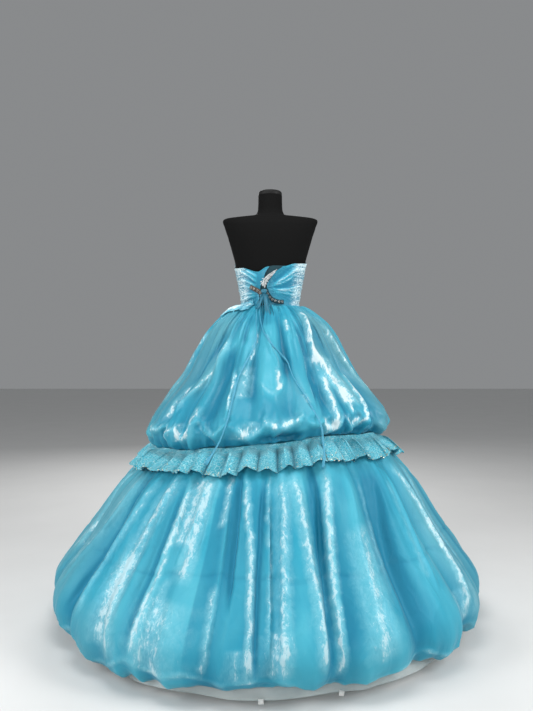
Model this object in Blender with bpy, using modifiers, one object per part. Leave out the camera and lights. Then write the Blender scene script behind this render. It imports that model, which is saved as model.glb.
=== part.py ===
"""A strapless ball gown on a dress form.

Metres, +Z up. The gown stands on the floor at Z = 0, its front faces -Y and its laced back faces +Y.
Angles go round the gown in degrees from the wearer's left (+X) by way of the back (90).
"""
import math
from collections import namedtuple

import bmesh
import bpy
from mathutils import Vector

# Driving dimensions
ORGANZA = 0.0015            # wall of each skirt layer
BODICE_WALL = 0.002
LACE_WALL = 0.001
SEAM_GAP = 0.0003           # left between pieces that are sewn together
CUT = SEAM_GAP / 2 + 0.0001  # what each side of a seam gives up
RIBBON_WALL = 0.001
TAPE_WALL = 0.0012

FORM_X = -0.014             # the form stands a little to the wearer's right of the skirt's middle
FORM_CLEAR = 0.0025         # form to bodice
FORM_BOTTOM = 0.84
NECK_TOP = 1.536
CAP_TOP = 1.553
BASE_RADIUS = 0.160
BASE_HEIGHT = 0.034
POLE_RADIUS = 0.0125

WAIST_TOP = 1.1140          # lower edge of the bodice
WAIST_FLATNESS = 0.79       # front-to-back share of the skirt's width at the waist
ROUND_BELOW = 0.90          # the skirt is round from here down

GORES = 6

TAIL_WIDTH = 0.007          # the ties, rolled into cords
TAIL_STANDOFF = 0.0080      # a tie's middle line to the cloth under it
TAIL_STEP = 0.020           # spacing of the points along a tie

# The form's level sections, from the hips to the neck
FormRing = namedtuple("FormRing", "height half_width back front")
FORM = [
    FormRing(FORM_BOTTOM, 0.150, 0.098, 0.095),
    FormRing(0.870, 0.162, 0.108, 0.100),
    FormRing(0.930, 0.167, 0.111, 0.101),
    FormRing(0.990, 0.156, 0.104, 0.097),
    FormRing(1.050, 0.130, 0.092, 0.090),
    FormRing(1.118, 0.1060, 0.0810, 0.0830),
    FormRing(1.150, 0.1080, 0.0825, 0.0870),
    FormRing(1.180, 0.1130, 0.0860, 0.0960),
    FormRing(1.225, 0.1220, 0.0910, 0.1160),
    FormRing(1.270, 0.1310, 0.0940, 0.1280),
    FormRing(1.320, 0.1440, 0.0955, 0.1230),
    FormRing(1.380, 0.1610, 0.0940, 0.1080),
    FormRing(1.420, 0.1740, 0.0860, 0.0920),
    FormRing(1.438, 0.1800, 0.0740, 0.0780),
    FormRing(1.446, 0.1720, 0.0660, 0.0680),
    FormRing(1.451, 0.1300, 0.0600, 0.0600),
    FormRing(1.455, 0.0800, 0.0560, 0.0540),
    FormRing(1.462, 0.0560, 0.0510, 0.0490),
    FormRing(1.480, 0.0470, 0.0470, 0.0460),
    FormRing(NECK_TOP, 0.0450, 0.0450, 0.0450),
]
FORM_SQUARENESS = 0.88      # 1 is a plain oval
FORM_SIDES = 32

# The skirt layers, each a list of rings from the waist down.
# lift: share of the raised seam that the ring follows; fold: share of its folds' depth
Ring = namedtuple("Ring", "height radius lift fold")
OVERSKIRT = [
    Ring(1.1137, 0.1125, 0.00, 0.00),
    Ring(1.1080, 0.1330, 0.00, 0.15),
    Ring(1.0850, 0.1720, 0.00, 0.35),
    Ring(1.0350, 0.2300, 0.00, 0.60),
    Ring(0.9430, 0.2840, 0.00, 0.85),
    Ring(0.8550, 0.3340, 0.05, 1.00),
    Ring(0.7650, 0.4060, 0.30, 1.00),
    Ring(0.6950, 0.4460, 0.75, 1.00),
    Ring(0.6450, 0.4500, 1.00, 1.00),
    Ring(0.6120, 0.4340, 1.00, 0.80),
    Ring(0.6040, 0.4120, 1.00, 0.30),
]
FLOUNCE = [                 # the gathered lace over the seam
    Ring(0.5970, 0.4240, 1.00, 0.25),
    Ring(0.5680, 0.4610, 1.00, 0.70),
    Ring(0.5350, 0.5000, 1.00, 1.00),
]
SKIRT = [
    Ring(0.5960, 0.4080, 1.00, 0.10),
    Ring(0.5440, 0.4640, 0.95, 0.35),
    Ring(0.4730, 0.5350, 0.70, 0.65),
    Ring(0.3450, 0.6270, 0.20, 1.00),
    Ring(0.1950, 0.7430, 0.00, 1.00),
    Ring(0.1250, 0.7720, 0.00, 0.90),
    Ring(0.0720, 0.7620, 0.00, 0.80),
    Ring(0.0450, 0.7320, 0.00, 0.60),
    Ring(0.0580, 0.7090, 0.00, 0.30),
]
PETTICOAT = [
    Ring(1.1040, 0.1170, 0.00, 0.00),
    Ring(1.0350, 0.1950, 0.00, 0.50),
    Ring(0.6500, 0.3600, 0.00, 0.60),
    Ring(0.4400, 0.4850, 0.00, 0.80),
    Ring(0.1950, 0.6300, 0.00, 1.00),
    Ring(0.0000, 0.6920, 0.00, 1.00),
]
UNDER_FLOUNCE = [           # the short sheer layer outside the petticoat's hem
    Ring(0.1500, 0.6560, 0.00, 0.60),
    Ring(0.0130, 0.7030, 0.00, 1.00),
]
HEM_FADE = 0.20             # the hem's rise dies out this far above the hem

# The seam under the overskirt climbs towards the back and the wearer's right
Rise = namedtuple("Rise", "angle rise")
SEAM_RISE = [
    Rise(0, -0.008), Rise(45, 0.008), Rise(67, 0.028), Rise(90, 0.045), Rise(115, 0.065),
    Rise(145, 0.058), Rise(180, 0.025), Rise(225, 0.018), Rise(270, 0.024), Rise(315, 0.010),
]

# Each fold's ridge, the valley that follows it, and how far the hem is raised at the ridge
Fold = namedtuple("Fold", "ridge valley hem")
SKIRT_FOLDS = [
    Fold(8, 0.024, 0.004), Fold(26, 0.036, 0.000), Fold(44, 0.020, -0.010),
    Fold(58, 0.016, -0.020), Fold(72, 0.024, -0.010), Fold(85, 0.030, -0.004),
    Fold(97, 0.028, 0.020), Fold(114, 0.034, 0.012), Fold(136, 0.026, 0.000),
    Fold(152, 0.030, 0.008), Fold(172, 0.022, 0.000), Fold(193, 0.032, -0.006),
    Fold(215, 0.024, 0.004), Fold(238, 0.036, 0.010), Fold(262, 0.022, 0.000),
    Fold(285, 0.030, 0.008), Fold(309, 0.026, -0.006), Fold(335, 0.034, 0.002),
]
OVERSKIRT_FOLDS = [
    Fold(8, 0.020, 0), Fold(27, 0.026, 0), Fold(42, 0.022, 0),
    Fold(55, 0.016, 0), Fold(71, 0.022, 0), Fold(89, 0.024, 0),
    Fold(108, 0.014, 0), Fold(124, 0.024, 0), Fold(136, 0.030, 0),
    Fold(158, 0.020, 0), Fold(176, 0.026, 0), Fold(198, 0.018, 0),
    Fold(220, 0.028, 0), Fold(243, 0.020, 0), Fold(264, 0.026, 0),
    Fold(286, 0.018, 0), Fold(310, 0.026, 0), Fold(338, 0.022, 0),
]


def even_folds(count, depth, variation):
    """Evenly gathered folds whose depth wanders a little."""
    rows = []
    for number in range(count):
        sway = math.sin(2.4 * number) + 0.6 * math.sin(5.1 * number + 1.0)
        ridge = 360.0 * number / count + 0.18 * (360.0 / count) * math.sin(3.7 * number)
        rows.append(Fold(ridge, depth * (1 + variation * sway), 0))
    return rows


RUFFLES = even_folds(24, 0.012, 0.20)
PETTICOAT_FOLDS = even_folds(12, 0.012, 0.20)

MATERIALS = {}


def lerp(start, end, share):
    return start + (end - start) * share


def smooth(share):
    share = min(max(share, 0.0), 1.0)
    return share * share * (3 - 2 * share)


# ---------------------------------------------------------------- shapes of the gown


def around(rows, angle):
    """Value of a table of (angle, value) rows at any angle, easing from row to row."""
    angle %= 360
    for index, row in enumerate(rows):
        following = rows[(index + 1) % len(rows)]
        span = (following[0] - row[0]) % 360
        ahead = (angle - row[0]) % 360
        if ahead <= span:
            return lerp(row[1], following[1], smooth(ahead / span))
    return rows[0][1]


def fold_angle(folds, phase):
    """Angle of a place counted in folds: whole numbers are ridges."""
    count = len(folds)
    number = math.floor(phase)
    start = folds[number % count].ridge
    span = (folds[(number + 1) % count].ridge - start) % 360
    return start + 360 * (number // count) + span * (phase - number)


def fold_phase(folds, angle):
    """The place, counted in folds, at an angle."""
    angle = (angle - folds[0].ridge) % 360 + folds[0].ridge
    number = 0
    while number < len(folds) - 1 and folds[number + 1].ridge <= angle:
        number += 1
    start = folds[number].ridge
    span = (folds[(number + 1) % len(folds)].ridge - start) % 360
    return number + (angle - start) / span


def fold_depth(folds, phase):
    number = math.floor(phase)
    return folds[number % len(folds)].valley * math.sin(math.pi * (phase - number)) ** 2


def hem_rise(folds, phase):
    number = math.floor(phase)
    start = folds[number % len(folds)].hem
    end = folds[(number + 1) % len(folds)].hem
    return lerp(start, end, smooth(phase - number))


def centre_x(height):
    """The gown's middle moves from the form's to the floor's below the puff."""
    return FORM_X * smooth((height - 0.55) / 0.25)


def place(angle, radius, height):
    """A point of a skirt layer: oval at the waist, round lower down."""
    turn = math.radians(angle)
    flatness = lerp(1, WAIST_FLATNESS, smooth((height - ROUND_BELOW) / (WAIST_TOP - ROUND_BELOW)))
    x = centre_x(height) + radius * math.cos(turn)
    return Vector((x, radius * flatness * math.sin(turn), height))


def layer_point(rings, folds, phase, row, out=0.0, slide=0.0):
    """A point of a layer at a place round it (in folds) and down it (in rings)."""
    upper = rings[min(int(row), len(rings) - 1)]
    lower = rings[min(int(row) + 1, len(rings) - 1)]
    share = row - int(row)
    height, radius, lift, fold = (lerp(a, b, share) for a, b in zip(upper, lower))
    angle = fold_angle(folds, phase)
    hem_height = rings[-1].height
    height += lift * around(SEAM_RISE, angle)
    height += hem_rise(folds, phase) * smooth(1 - (height - hem_height) / HEM_FADE)
    radius += out - fold * fold_depth(folds, phase)
    return place(angle + math.degrees(slide / radius), radius, height)


def form_point(angle, height, out=0.0):
    """A point of the form's surface, or of a layer round it."""
    lower = FORM[0]
    upper = FORM[-1]
    for below, above in zip(FORM, FORM[1:]):
        if below.height <= height <= above.height:
            lower, upper = below, above
    share = (height - lower.height) / (upper.height - lower.height)
    half_width, back, front = (lerp(a, b, share) for a, b in zip(lower[1:], upper[1:]))
    cosine = math.cos(math.radians(angle))
    sine = math.sin(math.radians(angle))
    depth = back if sine > 0 else front
    x = FORM_X + (half_width + out) * math.copysign(abs(cosine) ** FORM_SQUARENESS, cosine)
    y = (depth + out) * math.copysign(abs(sine) ** FORM_SQUARENESS, sine)
    return Vector((x, y, height))


# ---------------------------------------------------------------- building blocks


def material(name, colour, roughness, metallic=0.0):
    if name not in MATERIALS:
        made = bpy.data.materials.new(name)
        made.use_nodes = True
        shader = made.node_tree.nodes["Principled BSDF"]
        shader.inputs["Base Color"].default_value = (*colour, 1)
        shader.inputs["Roughness"].default_value = roughness
        shader.inputs["Metallic"].default_value = metallic
        made.diffuse_color = (*colour, 1)
        MATERIALS[name] = made
    return MATERIALS[name]


def organza():
    return material("aqua organza", (0.06, 0.53, 0.72), 0.28)


def sheer():
    return material("sheer petticoat", (0.42, 0.45, 0.44), 0.55)


def lace():
    return material("aqua lace", (0.14, 0.57, 0.70), 0.55)


def lining():
    return material("teal lining", (0.01, 0.16, 0.21), 0.45)


def ribbon():
    return material("blue ribbon", (0.02, 0.22, 0.36), 0.40)


def form_skin():
    return material("black form", (0.008, 0.008, 0.008), 0.60)


def stand_paint():
    return material("black stand", (0.012, 0.012, 0.012), 0.40)


def finish(item, look, gown):
    for collection in list(item.users_collection):
        collection.objects.unlink(item)
    gown.objects.link(item)
    item.data.materials.clear()
    item.data.materials.append(look)
    if item.type == "MESH":
        item.data.shade_smooth()
        item.data.set_sharp_from_angle(angle=math.radians(50))
    return item


def sheet(name, columns, rows, surface, wall, look, gown):
    """A cloth wall: a grid laid on surface(across, up), both 0 to 1, thickened inwards."""
    mesh = bpy.data.meshes.new(name)
    grid = bmesh.new()
    bmesh.ops.create_grid(grid, x_segments=columns, y_segments=rows, size=0.5)
    for vertex in grid.verts:
        vertex.co = surface(vertex.co.x + 0.5, vertex.co.y + 0.5)
    grid.to_mesh(mesh)
    grid.free()
    item = bpy.data.objects.new(name, mesh)
    gown.objects.link(item)
    thicken = item.modifiers.new("Wall", "SOLIDIFY")
    thicken.thickness = wall
    thicken.offset = -1
    thicken.use_even_offset = False
    return finish(item, look, gown)


def tube(name, points, radius, look, gown):
    curve = bpy.data.curves.new(name, "CURVE")
    curve.dimensions = "3D"
    curve.bevel_depth = radius
    curve.bevel_resolution = 2
    curve.use_fill_caps = True
    spline = curve.splines.new("POLY")
    spline.points.add(len(points) - 1)
    for point, target in zip(spline.points, points):
        point.co = (*target, 1)
    item = bpy.data.objects.new(name, curve)
    gown.objects.link(item)
    return finish(item, look, gown)


def smooth_route(controls, step):
    """Evenly spaced points on a smooth curve through the control points."""
    dense = []
    last = len(controls) - 1
    for number in range(last):
        before = controls[max(number - 1, 0)]
        start = controls[number]
        end = controls[number + 1]
        after = controls[min(number + 2, last)]
        for part in range(24):
            t = part / 24
            dense.append(0.5 * (2 * start + (end - before) * t
                                + (2 * before - 5 * start + 4 * end - after) * t ** 2
                                + (3 * start - before - 3 * end + after) * t ** 3))
    dense.append(controls[-1])
    length = sum((b - a).length for a, b in zip(dense, dense[1:]))
    pieces = max(2, round(length / step))
    points = [dense[0]]
    walked = 0.0
    for a, b in zip(dense, dense[1:]):
        walked += (b - a).length
        if walked >= length * len(points) / pieces and len(points) < pieces:
            points.append(b)
    points.append(dense[-1])
    return points


# ---------------------------------------------------------------- dress form and stand


def add_form(gown):
    mesh = bpy.data.meshes.new("form_torso")
    body = bmesh.new()
    rings = []
    for section in FORM:
        corners = [form_point(360 * side / FORM_SIDES, section.height) for side in range(FORM_SIDES)]
        rings.append([body.verts.new(corner) for corner in corners])
    for lower, upper in zip(rings, rings[1:]):
        for side in range(FORM_SIDES):
            following = (side + 1) % FORM_SIDES
            body.faces.new((lower[side], lower[following], upper[following], upper[side]))
    body.faces.new(list(reversed(rings[0])))
    body.faces.new(rings[-1])
    body.to_mesh(mesh)
    body.free()
    finish(bpy.data.objects.new("form_torso", mesh), form_skin(), gown)

    turned("form_neck_cap", [
        (0, CAP_TOP), (0.026, CAP_TOP), (0.037, CAP_TOP - 0.003), (0.0435, CAP_TOP - 0.009),
        (0.0445, NECK_TOP + SEAM_GAP), (0, NECK_TOP + SEAM_GAP),
    ], stand_paint(), gown)

    bpy.ops.mesh.primitive_cylinder_add(
        vertices=16, radius=POLE_RADIUS, depth=FORM_BOTTOM - BASE_HEIGHT - 2 * SEAM_GAP,
        location=(FORM_X, 0, (FORM_BOTTOM + BASE_HEIGHT) / 2))
    pole = bpy.context.active_object
    pole.name = "form_pole"
    finish(pole, stand_paint(), gown)

    turned("form_base", [
        (0, BASE_HEIGHT), (0.019, BASE_HEIGHT), (0.022, BASE_HEIGHT - 0.003), (0.022, 0.015),
        (0.032, 0.0125), (BASE_RADIUS - 0.008, 0.009), (BASE_RADIUS, 0.005), (BASE_RADIUS, 0), (0, 0),
    ], stand_paint(), gown)


def turned(name, profile, look, gown):
    """A turned piece from its outline, given from the top of the axis round to the bottom."""
    mesh = bpy.data.meshes.new(name)
    mesh.from_pydata([(radius, 0, height) for radius, height in profile],
                     [(i, i + 1) for i in range(len(profile) - 1)], [])
    item = bpy.data.objects.new(name, mesh)
    item.location = (FORM_X, 0, 0)
    gown.objects.link(item)
    spin = item.modifiers.new("Turn", "SCREW")
    spin.steps = 32
    spin.render_steps = 32
    spin.use_merge_vertices = True
    spin.merge_threshold = 0.0001
    return finish(item, look, gown)


# ---------------------------------------------------------------- bodice

# Height of the bodice's upper edge round the body
TOP_EDGE = [
    (0, 1.258), (40, 1.253), (72, 1.236), (88, 1.254), (108, 1.256), (130, 1.268), (180, 1.276),
    (205, 1.300), (232, 1.330), (250, 1.332), (270, 1.308), (290, 1.332), (308, 1.330), (335, 1.292),
]
# The lacing gap down the back: the edge of each back panel by height
LacingGap = namedtuple("LacingGap", "height left right")
LACING_GAP = [
    LacingGap(1.112, 69, 87), LacingGap(1.150, 71, 86), LacingGap(1.195, 74.5, 85.5),
    LacingGap(1.235, 82, 92), LacingGap(1.280, 90, 110),
]
PLEAT_DEPTH = 0.0035        # the ruching stands out this far
PLEAT_SPACING = 0.034
RUCHE_ORIGIN = 1.185        # its folds fan out from the lacing at this height
LACING_ANGLE = 78
# Where the bodice is seamed: under each arm and on either side of the front
BACK_SEAM_LEFT = 12
BACK_SEAM_RIGHT = 168
FRONT_SEAM_RIGHT = 216
FRONT_SEAM_LEFT = 324

# The placket behind the lacing
MODESTY_ANGLES = (62, 114)
MODESTY_BOTTOM = 1.120
MODESTY_TOPS = (1.230, 1.259)  # its top edge climbs from the left to the lacing
MODESTY_WALL = 0.0012


def gap_edges(height):
    lower, upper = LACING_GAP[0], LACING_GAP[-1]
    for below, above in zip(LACING_GAP, LACING_GAP[1:]):
        if below.height <= height <= above.height:
            lower, upper = below, above
    share = smooth((height - lower.height) / (upper.height - lower.height))
    return lerp(lower.left, upper.left, share), lerp(lower.right, upper.right, share)


def bodice_point(angle, height, out=0.0):
    """A point of the bodice's outside: close to the form, with soft folds that fan from the lacing."""
    away = abs((angle - LACING_ANGLE + 180) % 360 - 180) / 100
    fan = (height - RUCHE_ORIGIN) / (0.35 + away)
    sway = 1.3 * math.sin(math.radians(2 * angle))
    fold = 0.5 + 0.5 * math.cos(2 * math.pi * fan / PLEAT_SPACING + sway)
    thick = FORM_CLEAR + BODICE_WALL + PLEAT_DEPTH * fold * smooth(away * 3)
    return form_point(angle, height, thick + out)


def bodice_panel(name, start, end, look, gown, columns, rows, wall=BODICE_WALL):
    """A panel from one angle to another; each is a number or a function of height."""
    def surface(across, up):
        middle = lerp(WAIST_TOP, 1.27, up)
        low = start(middle) if callable(start) else start
        high = end(middle) if callable(end) else end
        angle = lerp(low, high, across)
        height = lerp(WAIST_TOP + SEAM_GAP, around(TOP_EDGE, angle), up)
        turn = math.degrees(CUT / FORM[5].half_width)
        angle += turn * (1 - 2 * across) if across in (0, 1) else 0
        return bodice_point(angle, height)
    return sheet(name, columns, rows, surface, wall, look, gown)


def add_bodice(gown):
    def left_edge(height):
        return gap_edges(height)[0]

    def right_edge(height):
        return gap_edges(height)[1]

    bodice_panel("bodice_back_left", BACK_SEAM_LEFT, left_edge, organza(), gown, 13, 8)
    bodice_panel("bodice_back_right", right_edge, BACK_SEAM_RIGHT, organza(), gown, 12, 6)
    bodice_panel("bodice_side_right", BACK_SEAM_RIGHT, FRONT_SEAM_RIGHT, organza(), gown, 6, 6)
    bodice_panel("bodice_front", FRONT_SEAM_RIGHT, FRONT_SEAM_LEFT, organza(), gown, 14, 6)
    bodice_panel("bodice_side_left", FRONT_SEAM_LEFT, BACK_SEAM_LEFT + 360, organza(), gown, 6, 6)

    def modesty(across, up):
        # lies between the form and the two back panels
        top = lerp(*MODESTY_TOPS, smooth((across - 0.15) / 0.35))
        height = lerp(MODESTY_BOTTOM, top, up)
        return form_point(lerp(*MODESTY_ANGLES, across), height, FORM_CLEAR - SEAM_GAP - 0.0004)
    sheet("modesty_panel", 12, 6, modesty, MODESTY_WALL, lining(), gown)


# ---------------------------------------------------------------- lacing, ties and bow

Spot = namedtuple("Spot", "angle height")
TAPE_WIDTH = 0.014
TAPE_STANDOFF = 0.0065      # above the bodice's own surface, clear of its folds
LEFT_TAPE = [Spot(56, 1.182), Spot(65, 1.173), Spot(73, 1.163), Spot(77, 1.149), Spot(78, 1.128)]
RIGHT_TAPE = [Spot(84, 1.172), Spot(87, 1.153), Spot(92, 1.136), Spot(100, 1.128), Spot(112, 1.126)]
LACING = [Spot(95, 1.234), Spot(90, 1.220), Spot(85, 1.206), Spot(82, 1.194), Spot(81, 1.182)]
LACING_RADIUS = 0.0045
BOW = Spot(82, 1.163)
KNOT_SIZE = (0.009, 0.006, 0.0085)
LOOP_WIDTH = 0.007
LOOP_REACH = 0.062          # how far the loops' lower ends stand out from the knot
# Each loop's place beside the knot, its lean towards the wearer's left, its drop and half width
Loop = namedtuple("Loop", "name side lean drop wide")
LOOPS = [
    Loop("bow_loop_left", 0.002, -0.003, 0.092, 0.006),
    Loop("bow_loop_right", -0.008, -0.022, 0.086, 0.008),
]

# The free ends of the lacing cord: down the bodice from the bow, over the overskirt,
# and hanging past its puffed edge over the lace
TieRoute = namedtuple("TieRoute", "bodice overskirt hanging")
Hang = namedtuple("Hang", "angle height radius")
LEFT_TAIL = TieRoute(
    [Spot(72.5, 1.152), Spot(72.5, 1.132)],
    [Spot(73.5, 1.094), Spot(76.0, 1.060), Spot(78.0, 1.010), Spot(77.5, 0.960), Spot(74.0, 0.900),
     Spot(71.5, 0.850), Spot(72.0, 0.775), Spot(72.5, 0.715)],
    [Hang(71.5, 0.670, 0.466), Hang(70.0, 0.630, 0.488), Hang(68.5, 0.598, 0.507)])
RIGHT_TAIL = TieRoute(
    [Spot(76.5, 1.152), Spot(76.5, 1.132)],
    [Spot(77.0, 1.094), Spot(80.0, 1.055), Spot(85.5, 1.010), Spot(92.0, 0.960), Spot(99.5, 0.922),
     Spot(102.0, 0.875), Spot(104.7, 0.830), Spot(108.3, 0.768)],
    [Hang(109.8, 0.715, 0.463), Hang(110.3, 0.672, 0.476), Hang(110.0, 0.630, 0.500),
     Hang(109.0, 0.590, 0.514)])


def tape_strip(name, spots, look, gown):
    middle = smooth_route([form_point(s.angle, s.height, FORM_CLEAR + BODICE_WALL + TAPE_STANDOFF)
                           for s in spots], 0.008)

    def surface(across, up):
        place_along = across * (len(middle) - 1)
        number = min(int(place_along), len(middle) - 2)
        here = middle[number].lerp(middle[number + 1], place_along - number)
        along = (middle[min(number + 2, len(middle) - 1)] - middle[max(number - 1, 0)]).normalized()
        outward = Vector((here.x - FORM_X, here.y, 0)).normalized()
        side = outward.cross(along).normalized()
        return here + side * TAPE_WIDTH * (up - 0.5)
    return sheet(name, len(middle) - 1, 1, surface, TAPE_WALL, look, gown)


def skirt_spot(spot, out):
    """The point of the overskirt at an angle and a height, moved out from it."""
    phase = fold_phase(OVERSKIRT_FOLDS, spot.angle)
    low, high = 0.0, 8.0
    for _ in range(24):
        row = (low + high) / 2
        if layer_point(OVERSKIRT, OVERSKIRT_FOLDS, phase, row).z > spot.height:
            low = row
        else:
            high = row
    here = layer_point(OVERSKIRT, OVERSKIRT_FOLDS, phase, low)
    below = layer_point(OVERSKIRT, OVERSKIRT_FOLDS, phase, low + 0.2)
    beside = layer_point(OVERSKIRT, OVERSKIRT_FOLDS, phase + 0.05, low)
    outward = (here - below).cross(here - beside).normalized()
    if outward.dot(Vector((here.x, here.y, 0))) < 0:
        outward = -outward
    return here + outward * out


def tie_route(route):
    """Evenly spaced points of a tie's middle line."""
    reach = FORM_CLEAR + BODICE_WALL + TAPE_STANDOFF + 0.006
    controls = [form_point(spot.angle, spot.height, reach) for spot in route.bodice]
    controls += [skirt_spot(spot, TAIL_STANDOFF) for spot in route.overskirt]
    controls += [place(hang.angle, hang.radius, hang.height) for hang in route.hanging]
    return smooth_route(controls, TAIL_STEP)


def add_lacing(gown):
    tape_strip("eyelet_tape_left", LEFT_TAPE, material("brown tape", (0.07, 0.05, 0.035), 0.6), gown)
    tape_strip("eyelet_tape_right", RIGHT_TAPE, lining(), gown)
    reach = FORM_CLEAR + BODICE_WALL + TAPE_STANDOFF + 0.0035 + LACING_RADIUS
    controls = [form_point(s.angle, s.height, reach) for s in LACING]
    tube("lacing_bundle", smooth_route(controls, 0.009), LACING_RADIUS,
         material("silvery cord", (0.55, 0.60, 0.60), 0.35), gown)

    # the bow: a flat knot over the lacing and two hanging loops
    knot_place = form_point(BOW.angle, BOW.height, FORM_CLEAR + BODICE_WALL + TAPE_STANDOFF + 0.009)
    bpy.ops.mesh.primitive_uv_sphere_add(segments=12, ring_count=8, radius=1, location=knot_place)
    knot = bpy.context.active_object
    knot.name = "bow_knot"
    knot.scale = KNOT_SIZE
    bpy.ops.object.transform_apply(location=False, rotation=False, scale=True)
    finish(knot, ribbon(), gown)
    for loop in LOOPS:
        bow_loop(loop, knot_place + Vector((loop.side, 0.003, -0.010)), gown)
    tube("tail_left", tie_route(LEFT_TAIL), TAIL_WIDTH / 2, ribbon(), gown)
    tube("tail_right", tie_route(RIGHT_TAIL), TAIL_WIDTH / 2, ribbon(), gown)


def bow_loop(loop, top, gown):
    """A hanging loop of ribbon: down, round the bottom and back up, edge on to the skirt."""
    def surface(across, up):
        turn = 2 * math.pi * (0.05 + 0.90 * across)
        down = 0.5 - 0.5 * math.cos(turn)
        sideways = -math.sin(turn) * (0.4 + 0.6 * down) * loop.wide
        outward = 0.002 + LOOP_REACH * down ** 1.5
        centre = top + Vector((loop.lean * down + sideways, outward, -loop.drop * down))
        return centre + Vector((0, LOOP_WIDTH * (0.5 - up), 0))
    sheet(loop.name, 14, 1, surface, RIBBON_WALL, ribbon(), gown)


# ---------------------------------------------------------------- skirts


def gores(prefix, rings, folds, wall, look, gown, columns_per_fold):
    """The panels of one layer, seamed in the valleys between folds."""
    rows = len(rings) - 1
    folds_each = len(folds) // GORES
    columns = folds_each * columns_per_fold
    for number in range(GORES):
        first = number * folds_each - 0.5

        def surface(across, up):
            phase = first + folds_each * across
            slide = CUT * (1 - 2 * across) if across in (0, 1) else 0
            return layer_point(rings, folds, phase, rows * (1 - up), 0, slide)
        sheet(f"{prefix}_{number + 1}", columns, rows, surface, wall, look, gown)


# The bunched end of the bodice's ruching
RUCHE_ANGLES = (8, 58)
RUCHE_BOTTOM = (1.078, 1.094)   # at either end
RUCHE_TOP = 1.130

# The two small white tabs on the under flounce's hem
TAB_ANGLES = {"hem_tab_left": 88.8, "hem_tab_right": 107.0}
TAB_SIZE = (0.014, 0.002, 0.012)


def add_waist_ruche(gown):
    """Cloth lying over the waist seam on the wearer's left."""
    def surface(across, up):
        angle = lerp(*RUCHE_ANGLES, across)
        height = lerp(lerp(*RUCHE_BOTTOM, across), RUCHE_TOP, up)
        crumple = 0.0015 * math.sin(9 * math.pi * across) * math.sin(2 * math.pi * up)
        over = smooth((WAIST_TOP + 0.012 - height) / 0.012)
        phase = fold_phase(OVERSKIRT_FOLDS, angle)
        row = 0.0
        while layer_point(OVERSKIRT, OVERSKIRT_FOLDS, phase, row).z > height:
            row += 0.02
        skirt = layer_point(OVERSKIRT, OVERSKIRT_FOLDS, phase, row, 0.005 + crumple)
        skirt.z += 0.005
        body = bodice_point(angle, height, 0.0085 + crumple)
        return body.lerp(skirt, over)
    sheet("waist_ruche", 14, 4, surface, ORGANZA, organza(), gown)


def add_hem_tabs(gown):
    for name, angle in TAB_ANGLES.items():
        phase = fold_phase(PETTICOAT_FOLDS, angle)
        centre = layer_point(UNDER_FLOUNCE, PETTICOAT_FOLDS, phase, 0.96, 0.004)
        bpy.ops.mesh.primitive_cube_add(size=1, location=centre,
                                        rotation=(0, 0, math.radians(angle - 90)))
        tab = bpy.context.active_object
        tab.name = name
        tab.scale = TAB_SIZE
        bpy.ops.object.transform_apply(location=False, rotation=False, scale=True)
        finish(tab, material("white tape", (0.8, 0.8, 0.78), 0.6), gown)


def main():
    for item in list(bpy.data.objects):
        bpy.data.objects.remove(item, do_unlink=True)
    gown = bpy.data.collections.new("ball_gown_on_form")
    bpy.context.scene.collection.children.link(gown)

    add_form(gown)
    add_bodice(gown)
    add_lacing(gown)
    gores("overskirt", OVERSKIRT, OVERSKIRT_FOLDS, ORGANZA, organza(), gown, 4)
    gores("lace", FLOUNCE, RUFFLES, LACE_WALL, lace(), gown, 3)
    gores("skirt", SKIRT, SKIRT_FOLDS, ORGANZA, organza(), gown, 4)
    gores("petticoat", PETTICOAT, PETTICOAT_FOLDS, ORGANZA, sheer(), gown, 3)
    gores("under_flounce", UNDER_FLOUNCE, PETTICOAT_FOLDS, LACE_WALL, sheer(), gown, 3)
    add_waist_ruche(gown)
    add_hem_tabs(gown)


main()
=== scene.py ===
import math
import bpy
import numpy as np
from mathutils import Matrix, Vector


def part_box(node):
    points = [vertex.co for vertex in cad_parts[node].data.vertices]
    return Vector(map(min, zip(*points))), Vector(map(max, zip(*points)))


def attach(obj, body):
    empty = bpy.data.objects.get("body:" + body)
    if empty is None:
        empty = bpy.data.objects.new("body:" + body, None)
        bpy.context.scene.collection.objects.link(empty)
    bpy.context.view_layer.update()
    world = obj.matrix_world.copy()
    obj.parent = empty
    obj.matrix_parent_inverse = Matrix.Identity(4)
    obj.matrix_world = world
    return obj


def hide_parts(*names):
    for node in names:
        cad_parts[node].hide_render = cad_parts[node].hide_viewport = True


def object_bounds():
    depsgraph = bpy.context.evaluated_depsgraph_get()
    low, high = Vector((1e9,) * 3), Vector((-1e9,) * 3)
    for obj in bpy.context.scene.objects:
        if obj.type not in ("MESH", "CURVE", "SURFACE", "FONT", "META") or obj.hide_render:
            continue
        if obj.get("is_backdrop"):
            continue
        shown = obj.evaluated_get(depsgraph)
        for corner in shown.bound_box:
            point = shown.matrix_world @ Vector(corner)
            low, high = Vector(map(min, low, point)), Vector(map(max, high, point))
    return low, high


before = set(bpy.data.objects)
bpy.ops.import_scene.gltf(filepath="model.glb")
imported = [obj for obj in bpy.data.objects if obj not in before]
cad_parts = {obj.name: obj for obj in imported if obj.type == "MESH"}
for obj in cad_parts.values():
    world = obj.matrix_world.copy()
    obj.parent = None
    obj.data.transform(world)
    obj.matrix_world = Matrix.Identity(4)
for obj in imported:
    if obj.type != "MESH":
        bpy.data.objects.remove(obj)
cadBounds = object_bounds()
print("frame loaded:", len(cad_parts), "nodes")

# ---- camera, floor and lights ----

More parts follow.
